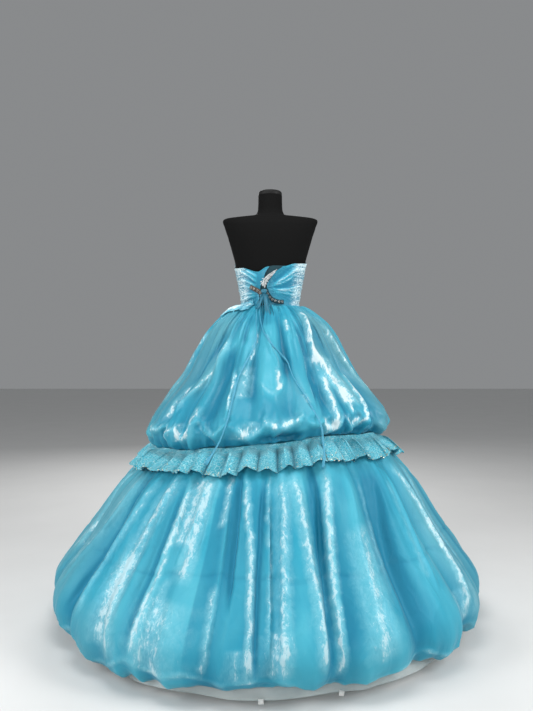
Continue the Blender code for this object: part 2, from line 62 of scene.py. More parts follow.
cameraSettings = {"place": (0, 2.36, 0.93), "lens": 31.4}
bpy.ops.object.camera_add(location=cameraSettings["place"], rotation=(math.pi / 2, 0, math.pi))
camera = bpy.context.active_object
camera.data.lens = cameraSettings["lens"]
camera.data.dof.use_dof = False
bpy.context.scene.camera = camera

lightSettings = [
    # name, place, aimed at, width, height, power
    ("leftSoftbox", (2.5, 1.6, 1.9), (0, 0, 0.8), 0.9, 1.8, 46),
    ("rightSoftbox", (-2.4, 1.3, 2.0), (0, 0, 0.8), 0.8, 1.8, 54),
    ("topSoftbox", (0.2, 0.9, 3.3), (0, 0, 0.5), 1.6, 1.2, 34),
    ("cameraFill", (0.3, 3.4, 1.5), (0, 0, 0.6), 0.9, 0.9, 26),
    ("frontSoftbox", (0.6, -3.0, 2.4), (0, 0, 0.8), 1.6, 1.6, 40),
]
for name, spot, aim, width, height, power in lightSettings:
    bpy.ops.object.light_add(type="AREA", location=spot)
    lamp = bpy.context.active_object
    lamp.name = name
    lamp.data.shape = "RECTANGLE"
    lamp.data.size = width
    lamp.data.size_y = height
    lamp.data.energy = power
    lamp.rotation_mode = "QUATERNION"
    lamp.rotation_quaternion = (Vector(aim) - Vector(spot)).to_track_quat("-Z", "Y")

world = bpy.data.worlds.new("studio")
world.use_nodes = True
background = world.node_tree.nodes["Background"]
background.inputs["Color"].default_value = (0.78, 0.80, 0.82, 1)
background.inputs["Strength"].default_value = 0.32
bpy.context.scene.world = world
bpy.context.scene.view_settings.view_transform = "Standard"
print("camera and lights set")

# ---- shader building ----


class Wire:  # a shader value that takes part in sums
    def __init__(self, book, socket):
        self.book = book
        self.socket = socket

    def sum(self, operation, other, turned=False):
        pair = (other, self) if turned else (self, other)
        return self.book.node("ShaderNodeMath", {"operation": operation}, {0: pair[0], 1: pair[1]})

    def __add__(self, other):
        return self.sum("ADD", other)

    def __radd__(self, other):
        return self.sum("ADD", other, True)

    def __sub__(self, other):
        return self.sum("SUBTRACT", other)

    def __rsub__(self, other):
        return self.sum("SUBTRACT", other, True)

    def __mul__(self, other):
        return self.sum("MULTIPLY", other)

    def __rmul__(self, other):
        return self.sum("MULTIPLY", other, True)

    def __pow__(self, other):
        return self.sum("POWER", other)


class Book:  # one material and its nodes
    def __init__(self, name):
        self.material = bpy.data.materials.new(name)
        self.material.use_nodes = True
        self.tree = self.material.node_tree
        self.shader = self.tree.nodes["Principled BSDF"]

    def node(self, kind, settings=None, values=None, out=0):
        made = self.tree.nodes.new(kind)
        for key, value in (settings or {}).items():
            if key == "stops":
                ramp = made.color_ramp.elements
                while len(ramp) < len(value):
                    ramp.new(0.5)
                for element, (place, colour) in zip(ramp, value):
                    element.position = place
                    element.color = (*colour, 1) if len(colour) == 3 else colour
            else:
                setattr(made, key, value)
        for key, value in (values or {}).items():
            self.put(made.inputs[key], value)
        return Wire(self, made.outputs[out])

    def put(self, socket, value):
        if isinstance(value, Wire):
            self.tree.links.new(value.socket, socket)
        elif hasattr(value, "__len__") and len(value) == 3 and len(socket.default_value) == 4:
            socket.default_value = (*value, 1)
        else:
            socket.default_value = value

    def surface(self, **values):
        for key, value in values.items():
            self.put(self.shader.inputs[key.replace("_", " ")], value)
        return self.material

    def place(self, scale=(1, 1, 1), source="Object"):
        coordinates = self.tree.nodes.new("ShaderNodeTexCoord")
        return self.node("ShaderNodeMapping", {},
                         {"Vector": Wire(self, coordinates.outputs[source]), "Scale": scale})

    def mark(self, name):
        return self.node("ShaderNodeAttribute", {"attribute_name": name}, {}, 2)

    def noise(self, where, scale, detail=4, rough=0.55, distortion=0.0):
        return self.node("ShaderNodeTexNoise", {}, {
            "Vector": where, "Scale": scale, "Detail": detail, "Roughness": rough,
            "Distortion": distortion})

    def cells(self, where, scale, feature="F1", out=0):
        return self.node("ShaderNodeTexVoronoi", {"feature": feature},
                         {"Vector": where, "Scale": scale}, out)

    def wave(self, where, scale, direction="X", distortion=0.0):
        return self.node("ShaderNodeTexWave", {"bands_direction": direction},
                         {"Vector": where, "Scale": scale, "Distortion": distortion}, 1)

    def weave(self, scale):  # warp and weft on the cloth's own measure
        thread = self.place(source="UV")
        return self.wave(thread, scale, "X") * 0.5 + self.wave(thread, scale, "Y") * 0.5

    def shift(self, where, amount, scale):
        # bends a pattern's coordinates by a little noise
        cloud = self.node("ShaderNodeTexNoise", {}, {"Vector": where, "Scale": scale}, 1)
        cloud = self.node("ShaderNodeVectorMath", {"operation": "SCALE"}, {0: cloud, "Scale": amount})
        return self.node("ShaderNodeVectorMath", {"operation": "ADD"}, {0: where, 1: cloud})

    def ramp(self, value, low, high, dark=0.0, bright=1.0):
        stops = ((low, (dark,) * 3), (high, (bright,) * 3))
        return self.node("ShaderNodeValToRGB", {"stops": stops}, {"Fac": value})

    def mix(self, share, first, second):
        made = self.tree.nodes.new("ShaderNodeMix")
        made.data_type = "RGBA"
        self.put(made.inputs[0], share)
        self.put(made.inputs[6], first)
        self.put(made.inputs[7], second)
        return Wire(self, made.outputs[2])

    def bump(self, height, strength, distance, below=None):
        values = {"Height": height, "Strength": strength, "Distance": distance}
        if below is not None:
            values["Normal"] = below
        return self.node("ShaderNodeBump", {}, values)


# ---- materials ----

organzaSettings = {
    "deep": (0.003, 0.200, 0.330),    # painted shade in the hollows, with deeper colour where the layers lie close
    "body": (0.018, 0.340, 0.490),
    "light": (0.072, 0.445, 0.575),
    "veil": (0.120, 0.330, 0.390),    # painted shade: sheer cloth over shadow
    "pale": (0.330, 0.680, 0.770),    # painted highlight, partly the cloth's silvery sheen: the crinkled bands that catch the light
    "silver": (0.860, 0.920, 0.930),  # painted highlight, partly the cloth's silvery weave: the bodice's sides and the sharpest glints
}


def organzaMaterial(name, see, crinkle, stretch, shine, paintedGlint, pale="pale"):
    book = Book(name)
    where = book.place(scale=(1, 1, stretch))
    gleam = book.mark("gleam")
    hollow = book.mark("hollow")
    veil = book.mark("veil")
    cloud = book.noise(book.place(scale=(1, 1, stretch * 0.5)), 5, 3, 0.6, 0.4)
    wrinkle = book.noise(where, 75, 5, 0.68, 1.4)
    jag = book.noise(where, 22, 4, 0.70, 0.8)
    # painted highlight, partly the cloth's own silvery sheen: pale jagged bands where the gleam mark is high
    highlightBand = book.ramp(gleam + (jag - 0.5) * 0.55, 0.06, 0.80)
    thin = book.noise(book.place(scale=(1, 1, stretch * 0.22)), 130, 4, 0.7, 0.6)
    glint = book.ramp(gleam + (wrinkle - 0.5) * 0.9 + (thin - 0.5) * 2.4, 0.66, 1.16)
    fleck = book.ramp(wrinkle, 0.34, 0.66, 0.35)
    colour = book.mix(book.ramp(cloud, 0.34, 0.66), organzaSettings["body"], organzaSettings["light"])
    # painted shade seen through the sheer cloth
    colour = book.mix(veil, colour, organzaSettings["veil"])
    # painted shade in the fold valleys and beside the pleats
    colour = book.mix(hollow, colour, organzaSettings["deep"])
    # painted highlight: pale bands, then painted silver glints, over the cloth's colour
    colour = book.mix(highlightBand * fleck * 0.75, colour, organzaSettings[pale])
    colour = book.mix(glint * paintedGlint, colour, organzaSettings["silver"])
    crushed = book.cells(where, 46, "SMOOTH_F1")
    crinkled = (wrinkle * 0.7 + crushed * 0.6) * (highlightBand * 0.9 + 0.14)
    bent = book.shift(where, 0.05, 7)
    crease = book.ramp(book.cells(bent, 11, "DISTANCE_TO_EDGE"), 0.0, 0.07, 1.0, 0.0)
    slack = book.noise(book.place(scale=(1, 1, stretch * 0.35)), 34, 4, 0.62, 0.5)
    soft = book.bump(crinkled, crinkle, 0.004)
    soft = book.bump(slack + crease * 0.30, 0.34, 0.006, soft)
    normal = book.bump(book.weave(330), 0.06, 0.0004, soft)
    return book.surface(Base_Color=colour, Roughness=0.56 - highlightBand * 0.16 + wrinkle * 0.12,
                        Metallic=0.12, Coat_Weight=shine, Coat_Roughness=0.26, Coat_IOR=1.5,
                        Coat_Tint=(0.80, 0.98, 1.0, 1), Specular_Tint=(0.75, 0.97, 1.0, 1),
                        Sheen_Weight=0.18, Sheen_Roughness=0.35, Sheen_Tint=(0.70, 0.93, 0.97, 1),
                        Alpha=see, Normal=normal)


def laceMaterial():
    book = Book("sequinnedLace")
    thread = book.place(source="UV")
    bent = book.shift(thread, 0.008, 50)
    hollow = book.mark("hollow")
    petals = book.ramp(book.cells(bent, 95, "F1"), 0.14, 0.42, 1.0, 0.0)
    vein = book.ramp(book.cells(bent, 95, "DISTANCE_TO_EDGE"), 0.02, 0.09, 1.0, 0.0)
    ground = book.noise(thread, 240, 3, 0.6)
    colour = book.mix(petals, (0.040, 0.400, 0.520), (0.140, 0.560, 0.680))
    colour = book.mix(vein * 0.8, colour, (0.400, 0.780, 0.830))
    colour = book.mix(book.ramp(ground, 0.62, 0.74, 0.0, 0.7), colour, (0.48, 0.60, 0.54))
    # painted shade in the valleys between the lace's flutes
    colour = book.mix(hollow * 0.85, colour, (0.006, 0.150, 0.230))
    height = petals * 0.6 + vein * 0.8 + ground * 0.5
    return book.surface(Base_Color=colour, Roughness=0.62, Sheen_Weight=0.2,
                        Normal=book.bump(height, 0.8, 0.0022))


def petticoatMaterial():
    book = Book("petticoatOrganza")
    where = book.place()
    height = book.node("ShaderNodeSeparateXYZ", {}, {"Vector": where}, 2)
    lined = book.ramp(height, 0.10, 0.26)
    grey = book.mix(book.noise(where, 30, 3), (0.40, 0.46, 0.46), (0.62, 0.68, 0.67))
    colour = book.mix(lined, grey, (0.04, 0.45, 0.62))
    return book.surface(Base_Color=colour, Roughness=0.5, Sheen_Weight=0.15,
                        Normal=book.bump(book.weave(260) + book.noise(where, 45, 3), 0.25, 0.002))


def sheerMaterial():
    book = Book("sheerFlounce")
    where = book.place()
    net = book.wave(book.place(source="UV"), 300, "X") * 0.5
    colour = book.mix(book.noise(where, 22, 3), (0.52, 0.60, 0.60), (0.72, 0.77, 0.76))
    return book.surface(Base_Color=colour, Roughness=0.4, Coat_Weight=0.3, Coat_Roughness=0.25,
                        Alpha=0.45, Normal=book.bump(net + book.noise(where, 60, 3), 0.3, 0.002))


def wovenMaterial(name, dark, light, rough, scale=900, coat=0.0, metal=0.0):
    book = Book(name)
    where = book.place()
    shade = book.noise(where, 120, 4, 0.6)
    rib = book.wave(where, scale, "Z", 0.6)
    colour = book.mix(shade, dark, light)
    return book.surface(Base_Color=colour, Roughness=rough, Coat_Weight=coat, Coat_Roughness=0.2,
                        Metallic=metal, Normal=book.bump(rib + shade * 0.6, 0.35, 0.0006))


def blackMaterial(name, level, rough, grain, gloss):
    book = Book(name)
    where = book.place()
    fleck = book.noise(where, grain, 4, 0.7)
    colour = book.mix(fleck, (level * 0.6,) * 3, (level * 1.5,) * 3)
    return book.surface(Base_Color=colour, Roughness=rough + fleck * 0.15, Specular_IOR_Level=gloss,
                        Normal=book.bump(fleck, 0.15, 0.0006))


def metalMaterial(name, colour, rough):
    book = Book(name)
    mark = book.noise(book.place(), 300, 3)
    return book.surface(Base_Color=colour, Metallic=0.9, Roughness=rough + mark * 0.1,
                        Normal=book.bump(mark, 0.1, 0.0003))


def floorMaterial():
    book = Book("paleFloor")
    speck = book.noise(book.place(), 3, 4)
    colour = book.mix(speck, (0.70, 0.70, 0.69), (0.76, 0.76, 0.75))
    return book.surface(Base_Color=colour, Roughness=0.7)


looks = {
    "overskirt": organzaMaterial("mirrorOrganza", 0.88, 0.34, 0.45, 0.22, 0.75),
    "skirt": organzaMaterial("crinkledOrganza", 0.92, 0.62, 0.60, 0.03, 0.40),
    "bodice": organzaMaterial("ruchedOrganza", 1.0, 0.25, 1.0, 0.45, 0.9, "silver"),
    "lace": laceMaterial(),
    "petticoat": petticoatMaterial(),
    "sheer": sheerMaterial(),
    "lining": wovenMaterial("tealSatin", (0.001, 0.024, 0.036), (0.003, 0.055, 0.075), 0.75),
    "brownTape": wovenMaterial("brownTape", (0.035, 0.025, 0.018), (0.12, 0.085, 0.06), 0.7),
    "cord": wovenMaterial("silverCord", (0.42, 0.45, 0.45), (0.85, 0.88, 0.88), 0.3, 1400, 0.4, 0.35),
    "ribbon": wovenMaterial("blueRibbon", (0.002, 0.080, 0.140), (0.014, 0.230, 0.340), 0.45, coat=0.1),
    "tie": wovenMaterial("blueTie", (0.020, 0.230, 0.370), (0.080, 0.420, 0.580), 0.4, coat=0.2),
    "whiteTape": wovenMaterial("whiteTape", (0.62, 0.62, 0.60), (0.86, 0.86, 0.84), 0.7),
    "form": blackMaterial("flockedForm", 0.0045, 0.78, 260, 0.10),
    "stand": blackMaterial("standPaint", 0.007, 0.50, 90, 0.22),
    "eyelet": metalMaterial("eyeletMetal", (0.62, 0.60, 0.56), 0.3),
    "sequin": metalMaterial("beigeSequin", (0.66, 0.60, 0.44), 0.34),
}
print("materials made")

bpy.ops.mesh.primitive_plane_add(size=30, location=(0, 0, -0.0005))
floor = bpy.context.active_object
floor.name = "floor"
floor.data.materials.append(floorMaterial())
floor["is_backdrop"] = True

# ---- shapes that the pieces share ----

formX = -0.014
waistTop = 1.1140
waistFlatness = 0.79
roundBelow = 0.90
hemFade = 0.20

formSettings = {"around": 96, "tall": 130, "square": 0.88}

# the form's level sections: height, half width, back, front
formRings = np.array([
    (0.840, 0.150, 0.098, 0.095), (0.870, 0.162, 0.108, 0.100), (0.930, 0.167, 0.111, 0.101),
    (0.990, 0.156, 0.104, 0.097), (1.050, 0.130, 0.092, 0.090), (1.118, 0.106, 0.081, 0.083),
    (1.150, 0.108, 0.0825, 0.087), (1.180, 0.113, 0.086, 0.096), (1.225, 0.122, 0.091, 0.116),
    (1.270, 0.131, 0.094, 0.128), (1.320, 0.144, 0.0955, 0.123), (1.380, 0.161, 0.094, 0.108),
    (1.420, 0.174, 0.086, 0.092), (1.438, 0.180, 0.074, 0.078), (1.446, 0.172, 0.066, 0.068),
    (1.451, 0.130, 0.060, 0.060), (1.455, 0.080, 0.056, 0.054), (1.462, 0.056, 0.051, 0.049),
    (1.480, 0.047, 0.047, 0.046), (1.536, 0.045, 0.045, 0.045),
])

# each layer's rings: height, radius, share of the seam's rise, share of the folds
overskirtRings = np.array([
    (1.1137, 0.1125, 0, 0), (1.1080, 0.1330, 0, 0.15), (1.0850, 0.1720, 0, 0.35),
    (1.0350, 0.2300, 0, 0.60), (0.9430, 0.2840, 0, 0.85), (0.8550, 0.3340, 0.05, 1),
    (0.7650, 0.4060, 0.30, 1), (0.6950, 0.4460, 0.75, 1), (0.6450, 0.4500, 1, 1),
    (0.6120, 0.4340, 1, 0.80), (0.6040, 0.4120, 1, 0.30),
])
laceRings = np.array([(0.6070, 0.4170, 1, 0.25), (0.5680, 0.4610, 1, 0.70), (0.5350, 0.5000, 1, 1)])
skirtRings = np.array([
    (0.5960, 0.4080, 1, 0.10), (0.5440, 0.4640, 0.95, 0.35), (0.4730, 0.5350, 0.70, 0.65),
    (0.3450, 0.6270, 0.20, 1), (0.1950, 0.7430, 0, 1), (0.1250, 0.7720, 0, 0.90),
    (0.0720, 0.7620, 0, 0.80), (0.0450, 0.7320, 0, 0.60), (0.0580, 0.7090, 0, 0.30),
])
petticoatRings = np.array([
    (1.1040, 0.1170, 0, 0), (1.0350, 0.1950, 0, 0.50), (0.6500, 0.3600, 0, 0.60),
    (0.4400, 0.4850, 0, 0.80), (0.1950, 0.6300, 0, 1), (0.0000, 0.6920, 0, 1),
])
underRings = np.array([(0.1500, 0.6560, 0, 0.60), (0.0130, 0.7030, 0, 1)])

# the seam under the overskirt climbs towards the back and the wearer's right: angle, rise
seamRise = [(0, -0.008), (45, 0.008), (67, 0.028), (90, 0.045), (115, 0.065), (145, 0.058),
            (180, 0.025), (225, 0.018), (270, 0.024), (315, 0.010)]

# folds: ridge angle, depth of the valley that follows it, rise of the hem at the ridge
skirtFolds = np.array([
    (8, 0.024, 0.004), (26, 0.036, 0), (44, 0.020, -0.010), (58, 0.016, -0.020),
    (72, 0.024, -0.010), (85, 0.030, -0.004), (97, 0.028, 0.020), (114, 0.034, 0.012),
    (136, 0.026, 0), (152, 0.030, 0.008), (172, 0.022, 0), (193, 0.032, -0.006),
    (215, 0.024, 0.004), (238, 0.036, 0.010), (262, 0.022, 0), (285, 0.030, 0.008),
    (309, 0.026, -0.006), (335, 0.034, 0.002),
])
overskirtFolds = np.array([
    (8, 0.020, 0), (27, 0.026, 0), (42, 0.022, 0), (55, 0.016, 0), (71, 0.022, 0),
    (89, 0.024, 0), (108, 0.014, 0), (124, 0.024, 0), (136, 0.030, 0), (158, 0.020, 0),
    (176, 0.026, 0), (198, 0.018, 0), (220, 0.028, 0), (243, 0.020, 0), (264, 0.026, 0),
    (286, 0.018, 0), (310, 0.026, 0), (338, 0.022, 0),
])


def evenFolds(count, depth, variation):
    number = np.arange(count)
    sway = np.sin(2.4 * number) + 0.6 * np.sin(5.1 * number + 1.0)
    ridge = 360.0 * number / count + 0.18 * (360.0 / count) * np.sin(3.7 * number)
    return np.stack([ridge, depth * (1 + variation * sway), 0 * ridge], axis=1)


ruffles = evenFolds(24, 0.012, 0.20)
petticoatFolds = evenFolds(12, 0.012, 0.20)


def ease(share):
    share = np.clip(share, 0, 1)
    return share * share * (3 - 2 * share)


def aroundTable(rows, angle):
    places = np.array([row[0] for row in rows] + [rows[0][0] + 360.0])
    values = np.array([row[1] for row in rows] + [rows[0][1]])
    angle = np.mod(angle, 360)
    number = np.clip(np.searchsorted(places, angle, side="right") - 1, 0, len(rows) - 1)
    share = (angle - places[number]) / (places[number + 1] - places[number])
    return values[number] + (values[number + 1] - values[number]) * ease(share)


def betweenRows(table, row):  # smooth values between the rows of a table
    last = len(table) - 1
    start = np.clip(np.floor(row).astype(int), 0, last - 1)
    t = (row - start)[..., None]
    a = table[np.maximum(start - 1, 0)]
    b = table[start]
    c = table[start + 1]
    d = table[np.minimum(start + 2, last)]
    return 0.5 * (2 * b + (c - a) * t + (2 * a - 5 * b + 4 * c - d) * t ** 2
                  + (3 * b - a - 3 * c + d) * t ** 3)


def foldPlaces(folds):  # the folds counted over three turns, and their ridges' angles
    count = len(folds)
    places = np.arange(-count, 2 * count + 1)
    return places, folds[places % count, 0] + 360.0 * (places // count)


def foldAngle(folds, phase):
    return np.interp(phase, *foldPlaces(folds))


def foldPhase(folds, angle):
    return np.interp(angle, *foldPlaces(folds)[::-1])


def foldDepth(folds, phase, narrow):  # narrow above 1 draws the valleys in
    number = np.floor(phase).astype(int)
    return folds[number % len(folds), 1] * np.abs(np.sin(np.pi * (phase - number))) ** (2 * narrow)


def hemRise(folds, phase):
    number = np.floor(phase).astype(int)
    start = folds[number % len(folds), 2]
    end = folds[(number + 1) % len(folds), 2]
    return start + (end - start) * ease(phase - number)


def centreX(height):
    return formX * ease((height - 0.55) / 0.25)


def place(angle, radius, height):
    turn = np.radians(angle)
    flat = 1 + (waistFlatness - 1) * ease((height - roundBelow) / (waistTop - roundBelow))
    return np.stack([centreX(height) + radius * np.cos(turn), radius * flat * np.sin(turn),
                     height + 0 * turn], axis=-1)


def layerPoint(rings, folds, phase, row, narrow=1.0):
    height, radius, lift, fold = np.moveaxis(betweenRows(rings, row), -1, 0)
    angle = foldAngle(folds, phase)
    height = height + lift * aroundTable(seamRise, angle)
    height = height + hemRise(folds, phase) * ease(1 - (height - rings[-1, 0]) / hemFade)
    return place(angle, radius - fold * foldDepth(folds, phase, narrow), height)


def formPoint(angle, height, out=0.0):
    row = np.interp(height, formRings[:, 0], np.arange(len(formRings)))
    _, wide, back, front = np.moveaxis(betweenRows(formRings, row), -1, 0)
    cosine = np.cos(np.radians(angle))
    sine = np.sin(np.radians(angle))
    depth = np.where(sine > 0, back, front)
    x = formX + (wide + out) * np.sign(cosine) * np.abs(cosine) ** formSettings["square"]
    y = (depth + out) * np.sign(sine) * np.abs(sine) ** formSettings["square"]
    return np.stack([x, y, height + 0 * x], axis=-1)


def onForm(spots, out):  # points over the form at (angle, height) places
    return formPoint(*np.array(spots, float).T, out)


def blend(values, spot):  # smooth values between the entries of a loop
    low = np.floor(spot).astype(int)
    share = ease(spot - low)
    return values[low % len(values)] * (1 - share) + values[(low + 1) % len(values)] * share


def wander(seed, count):  # a smooth loop of random values round 360 degrees
    values = np.random.default_rng(seed).uniform(-1, 1, count)
    return lambda angle: blend(values, np.mod(angle, 360) / 360 * count)


zigzagLine = wander(81, 17)
zigzagFine = wander(82, 43)


# ---- making meshes ----


def alone(item):
    bpy.ops.object.select_all(action="DESELECT")
    item.select_set(True)
    bpy.context.view_layer.objects.active = item


def added(name, operator, **sizes):
    bpy.ops.object.select_all(action="DESELECT")
    operator(**sizes)
    item = bpy.context.active_object
    item.name = name
    return item


def pointsOf(item):
    flat = np.zeros(len(item.data.vertices) * 3, np.float32)
    item.data.vertices.foreach_get("co", flat)
    return flat.reshape(-1, 3)


def movePoints(item, points):
    item.data.vertices.foreach_set("co", points.astype(np.float32).ravel())
    item.data.update()


def wrapGrid(name, points, uv, look, thick=0.0, smoothAngle=60, marks=None):
    # a grid laid on the points, thickened inwards; points run [up][across]
    tall, broad = points.shape[0] - 1, points.shape[1] - 1
    item = added(name, bpy.ops.mesh.primitive_grid_add, x_subdivisions=broad, y_subdivisions=tall, size=1)
    mesh = item.data
    flat = pointsOf(item)
    column = np.rint((flat[:, 0] + 0.5) * broad).astype(int)
    line = np.rint((flat[:, 1] + 0.5) * tall).astype(int)
    movePoints(item, points[line, column])
    corner = np.zeros(len(mesh.loops), np.int32)
    mesh.loops.foreach_get("vertex_index", corner)
    layer = mesh.uv_layers[0]
    layer.data.foreach_set("uv", uv[line[corner], column[corner]].astype(np.float32).ravel())
    for mark, values in (marks or {}).items():
        layer = mesh.attributes.new(mark, "FLOAT", "POINT")
        layer.data.foreach_set("value", values[line, column].astype(np.float32).ravel())
    if thick:
        wall = item.modifiers.new("wall", "SOLIDIFY")
        wall.thickness = thick
        wall.offset = -1  # inwards
        alone(item)
        bpy.ops.object.modifier_apply(modifier="wall")
    dress(item, look, smoothAngle)
    return item


def dress(item, look, smoothAngle=60):
    item.data.materials.clear()
    item.data.materials.append(look)
    alone(item)
    bpy.ops.object.shade_smooth_by_angle(angle=math.radians(smoothAngle))


def normalsOf(points):
    across = np.gradient(points, axis=1)
    up = np.gradient(points, axis=0)
    outward = np.cross(across, up)
    return outward / np.maximum(np.linalg.norm(outward, axis=-1, keepdims=True), 1e-9)


def arcUv(points):  # the cloth's own measure, in metres
    across = np.linalg.norm(np.diff(points, axis=1), axis=-1)
    up = np.linalg.norm(np.diff(points, axis=0), axis=-1)
    u = np.concatenate([np.zeros((points.shape[0], 1)), np.cumsum(across, axis=1)], axis=1)
    v = np.concatenate([np.zeros((1, points.shape[1])), np.cumsum(up, axis=0)], axis=0)
    return np.stack([u, v], axis=-1)


def ready(item, slot, *replaced):
    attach(item, "root")
    if replaced:
        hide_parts(*replaced)
    return item


def turnFrom(angle, middle):  # degrees from a middle angle, the short way round
    return np.mod(angle - middle + 180, 360) - 180


def ends(along, start, end):  # fades in and out along a line
    return ease(along / start) * ease((1 - along) / end)


def linesDown(rows, angle, height, radius):
    # for each line down the cloth, how far along it and how far aside of it every point lies
    for topAngle, topHeight, footAngle, footHeight, bend, *rest in rows:
        along = (topHeight - height) / (topHeight - footHeight)
        middle = topAngle + (footAngle - topAngle) * along + bend * np.sin(np.pi * np.clip(along, 0, 1))
        yield topAngle, along, np.radians(turnFrom(angle, middle)) * radius, rest


def creaseField(creases, angle, height, radius, zigzag):
    # creases: angle and height at the top and the foot, bend, half width, depth out of the cloth
    total = np.zeros_like(angle)
    for topAngle, along, away, (width, depth) in linesDown(creases, angle, height, radius):
        away = away + zigzag * (zigzagLine(360 * height + 50 * topAngle)
                                + 0.6 * zigzagFine(360 * height + 70 * topAngle))
        total += depth * np.exp(-(away / width) ** 2) * ends(along, 0.22, 0.22)
    return total


def streakField(streaks, angle, height, radius):
    # painted highlight, partly the cloth's silvery sheen: pale bands, a soft wide one with a crisp jagged line
    # along its middle
    total = np.zeros_like(angle)
    for topAngle, along, away, (width, strength) in linesDown(streaks, angle, height, radius):
        jag = 0.0040 * (zigzagLine(900 * height + 50 * topAngle) + zigzagFine(700 * height + 70 * topAngle))
        wide = np.exp(-((away + 0.6 * jag) / (1.4 * width)) ** 4)
        core = np.exp(-((away + jag) / (0.26 * width + 0.0022)) ** 2)
        broken = 0.80 + 0.45 * zigzagFine(420 * height + 90 * topAngle)
        total += strength * (0.44 * wide + 0.60 * core * broken) * ends(along, 0.12, 0.12)
    return total


def shadeField(shades, angle, height, radius):
    # painted shade beside a pleat's edge: sharp on one side, fading away on the other (1 or -1)
    total = np.zeros_like(angle)
    for topAngle, along, away, (width, strength, side) in linesDown(shades, angle, height, radius):
        near = np.exp(-(away / np.where(away * side > 0, width, 0.004)) ** 2)
        total = np.maximum(total, strength * near * ends(along, 0.2, 0.3))
    return total


def veilShadeField(patches, angle, height):
    # painted shade: patches where the sheer cloth lies over shadow: angle, height, half angle, half height,
    # strength
    total = np.zeros_like(angle)
    for middle, level, broad, tall, strength in patches:
        away = turnFrom(angle, middle) / broad
        total += strength * np.exp(-away ** 4 - ((height - level) / tall) ** 4)
    return total


def gatherField(seed, counts, angle, along, sway):
    # many small gathers: counts hold how many go round, their depth and how far they run
    total = np.zeros_like(angle)
    for number, (count, depth, reach) in enumerate(counts):
        drift = wander(seed + 31 * number, 9)(angle + 40 * along) * sway * along
        line = wander(seed + number, count)(angle + drift)
        ridged = 1 - 2 * np.abs(line)
        total += depth * ridged * np.exp(-(along / reach) ** 2)
    return total


def lattice(seed, around, tall):
    # smooth noise over a sheet: around values in a turn, tall values from its top to its foot
    values = np.random.default_rng(seed).uniform(-1, 1, (tall + 2, around))

    def at(angle, along):
        spot = np.mod(angle, 360) / 360 * around
        low = np.floor(spot).astype(int)
        share = ease(spot - low)
        rise = np.clip(along, 0, 1) * tall
        step = np.floor(rise).astype(int)
        climb = ease(rise - step)
        lower = values[step, low % around] * (1 - share) + values[step, (low + 1) % around] * share
        upper = values[step + 1, low % around] * (1 - share) + values[step + 1, (low + 1) % around] * share
        return lower * (1 - climb) + upper * climb
    return at


def swagField(swags, angle, height, radius):
    # swags: middle angle, lowest height, half span in degrees, rise at the ends, width, depth
    total = np.zeros_like(angle)
    for middle, low, span, rise, width, depth in swags:
        away = turnFrom(angle, middle) / span
        line = low + rise * away ** 2
        near = np.exp(-((height - line) / width) ** 2)
        total += depth * near * ease(2.2 * (1 - np.abs(away)))
    return total


def hiddenCreases(seed, start, end, step, top, foot, width, depth):
    # creases of the same kind for the sides that face away
    dice = np.random.default_rng(seed)
    made = []
    angle = start
    while angle < end:
        made.append((angle, top - 0.10 * dice.random() * (top - foot), angle + dice.uniform(-4, 4),
                     foot + 0.35 * dice.random() * (top - foot), dice.uniform(-3, 3),
                     width * dice.uniform(0.5, 1.6), depth * dice.uniform(0.5, 1.2)))
        angle += step * dice.uniform(0.6, 1.4)
    return made


def walkedAlong(path):  # the length from the path's start to each of its points
    return np.concatenate([[0], np.cumsum(np.linalg.norm(np.diff(path, axis=0), axis=1))])


def lengthRows(rings, count):
    # places down the rings, evenly spaced by the cloth's own length
    fine = np.linspace(0, len(rings) - 1, 600)
    walked = walkedAlong(betweenRows(rings, fine)[:, :2])
    return np.interp(np.linspace(0, walked[-1], count + 1), walked, fine)


def steps(broad, tall):  # even shares across a sheet and up it
    return np.meshgrid(np.linspace(0, 1, broad + 1), np.linspace(0, 1, tall + 1))


goreCount = 6


def cutSize(points, fullness):
    # the flat gore: its widest row and its length, and its area with the small gathers let out
    across = np.linalg.norm(np.diff(points, axis=1), axis=-1).sum(axis=1) * fullness
    up = np.linalg.norm(np.diff(points, axis=0), axis=-1).sum(axis=0)
    size = (round(float(across.max()), 2), round(float(up.mean()), 2))
    share = np.clip(float(across.mean()) / float(across.max()), 0.31, 0.99)
    return size, round(size[0] * size[1] * share, 3)


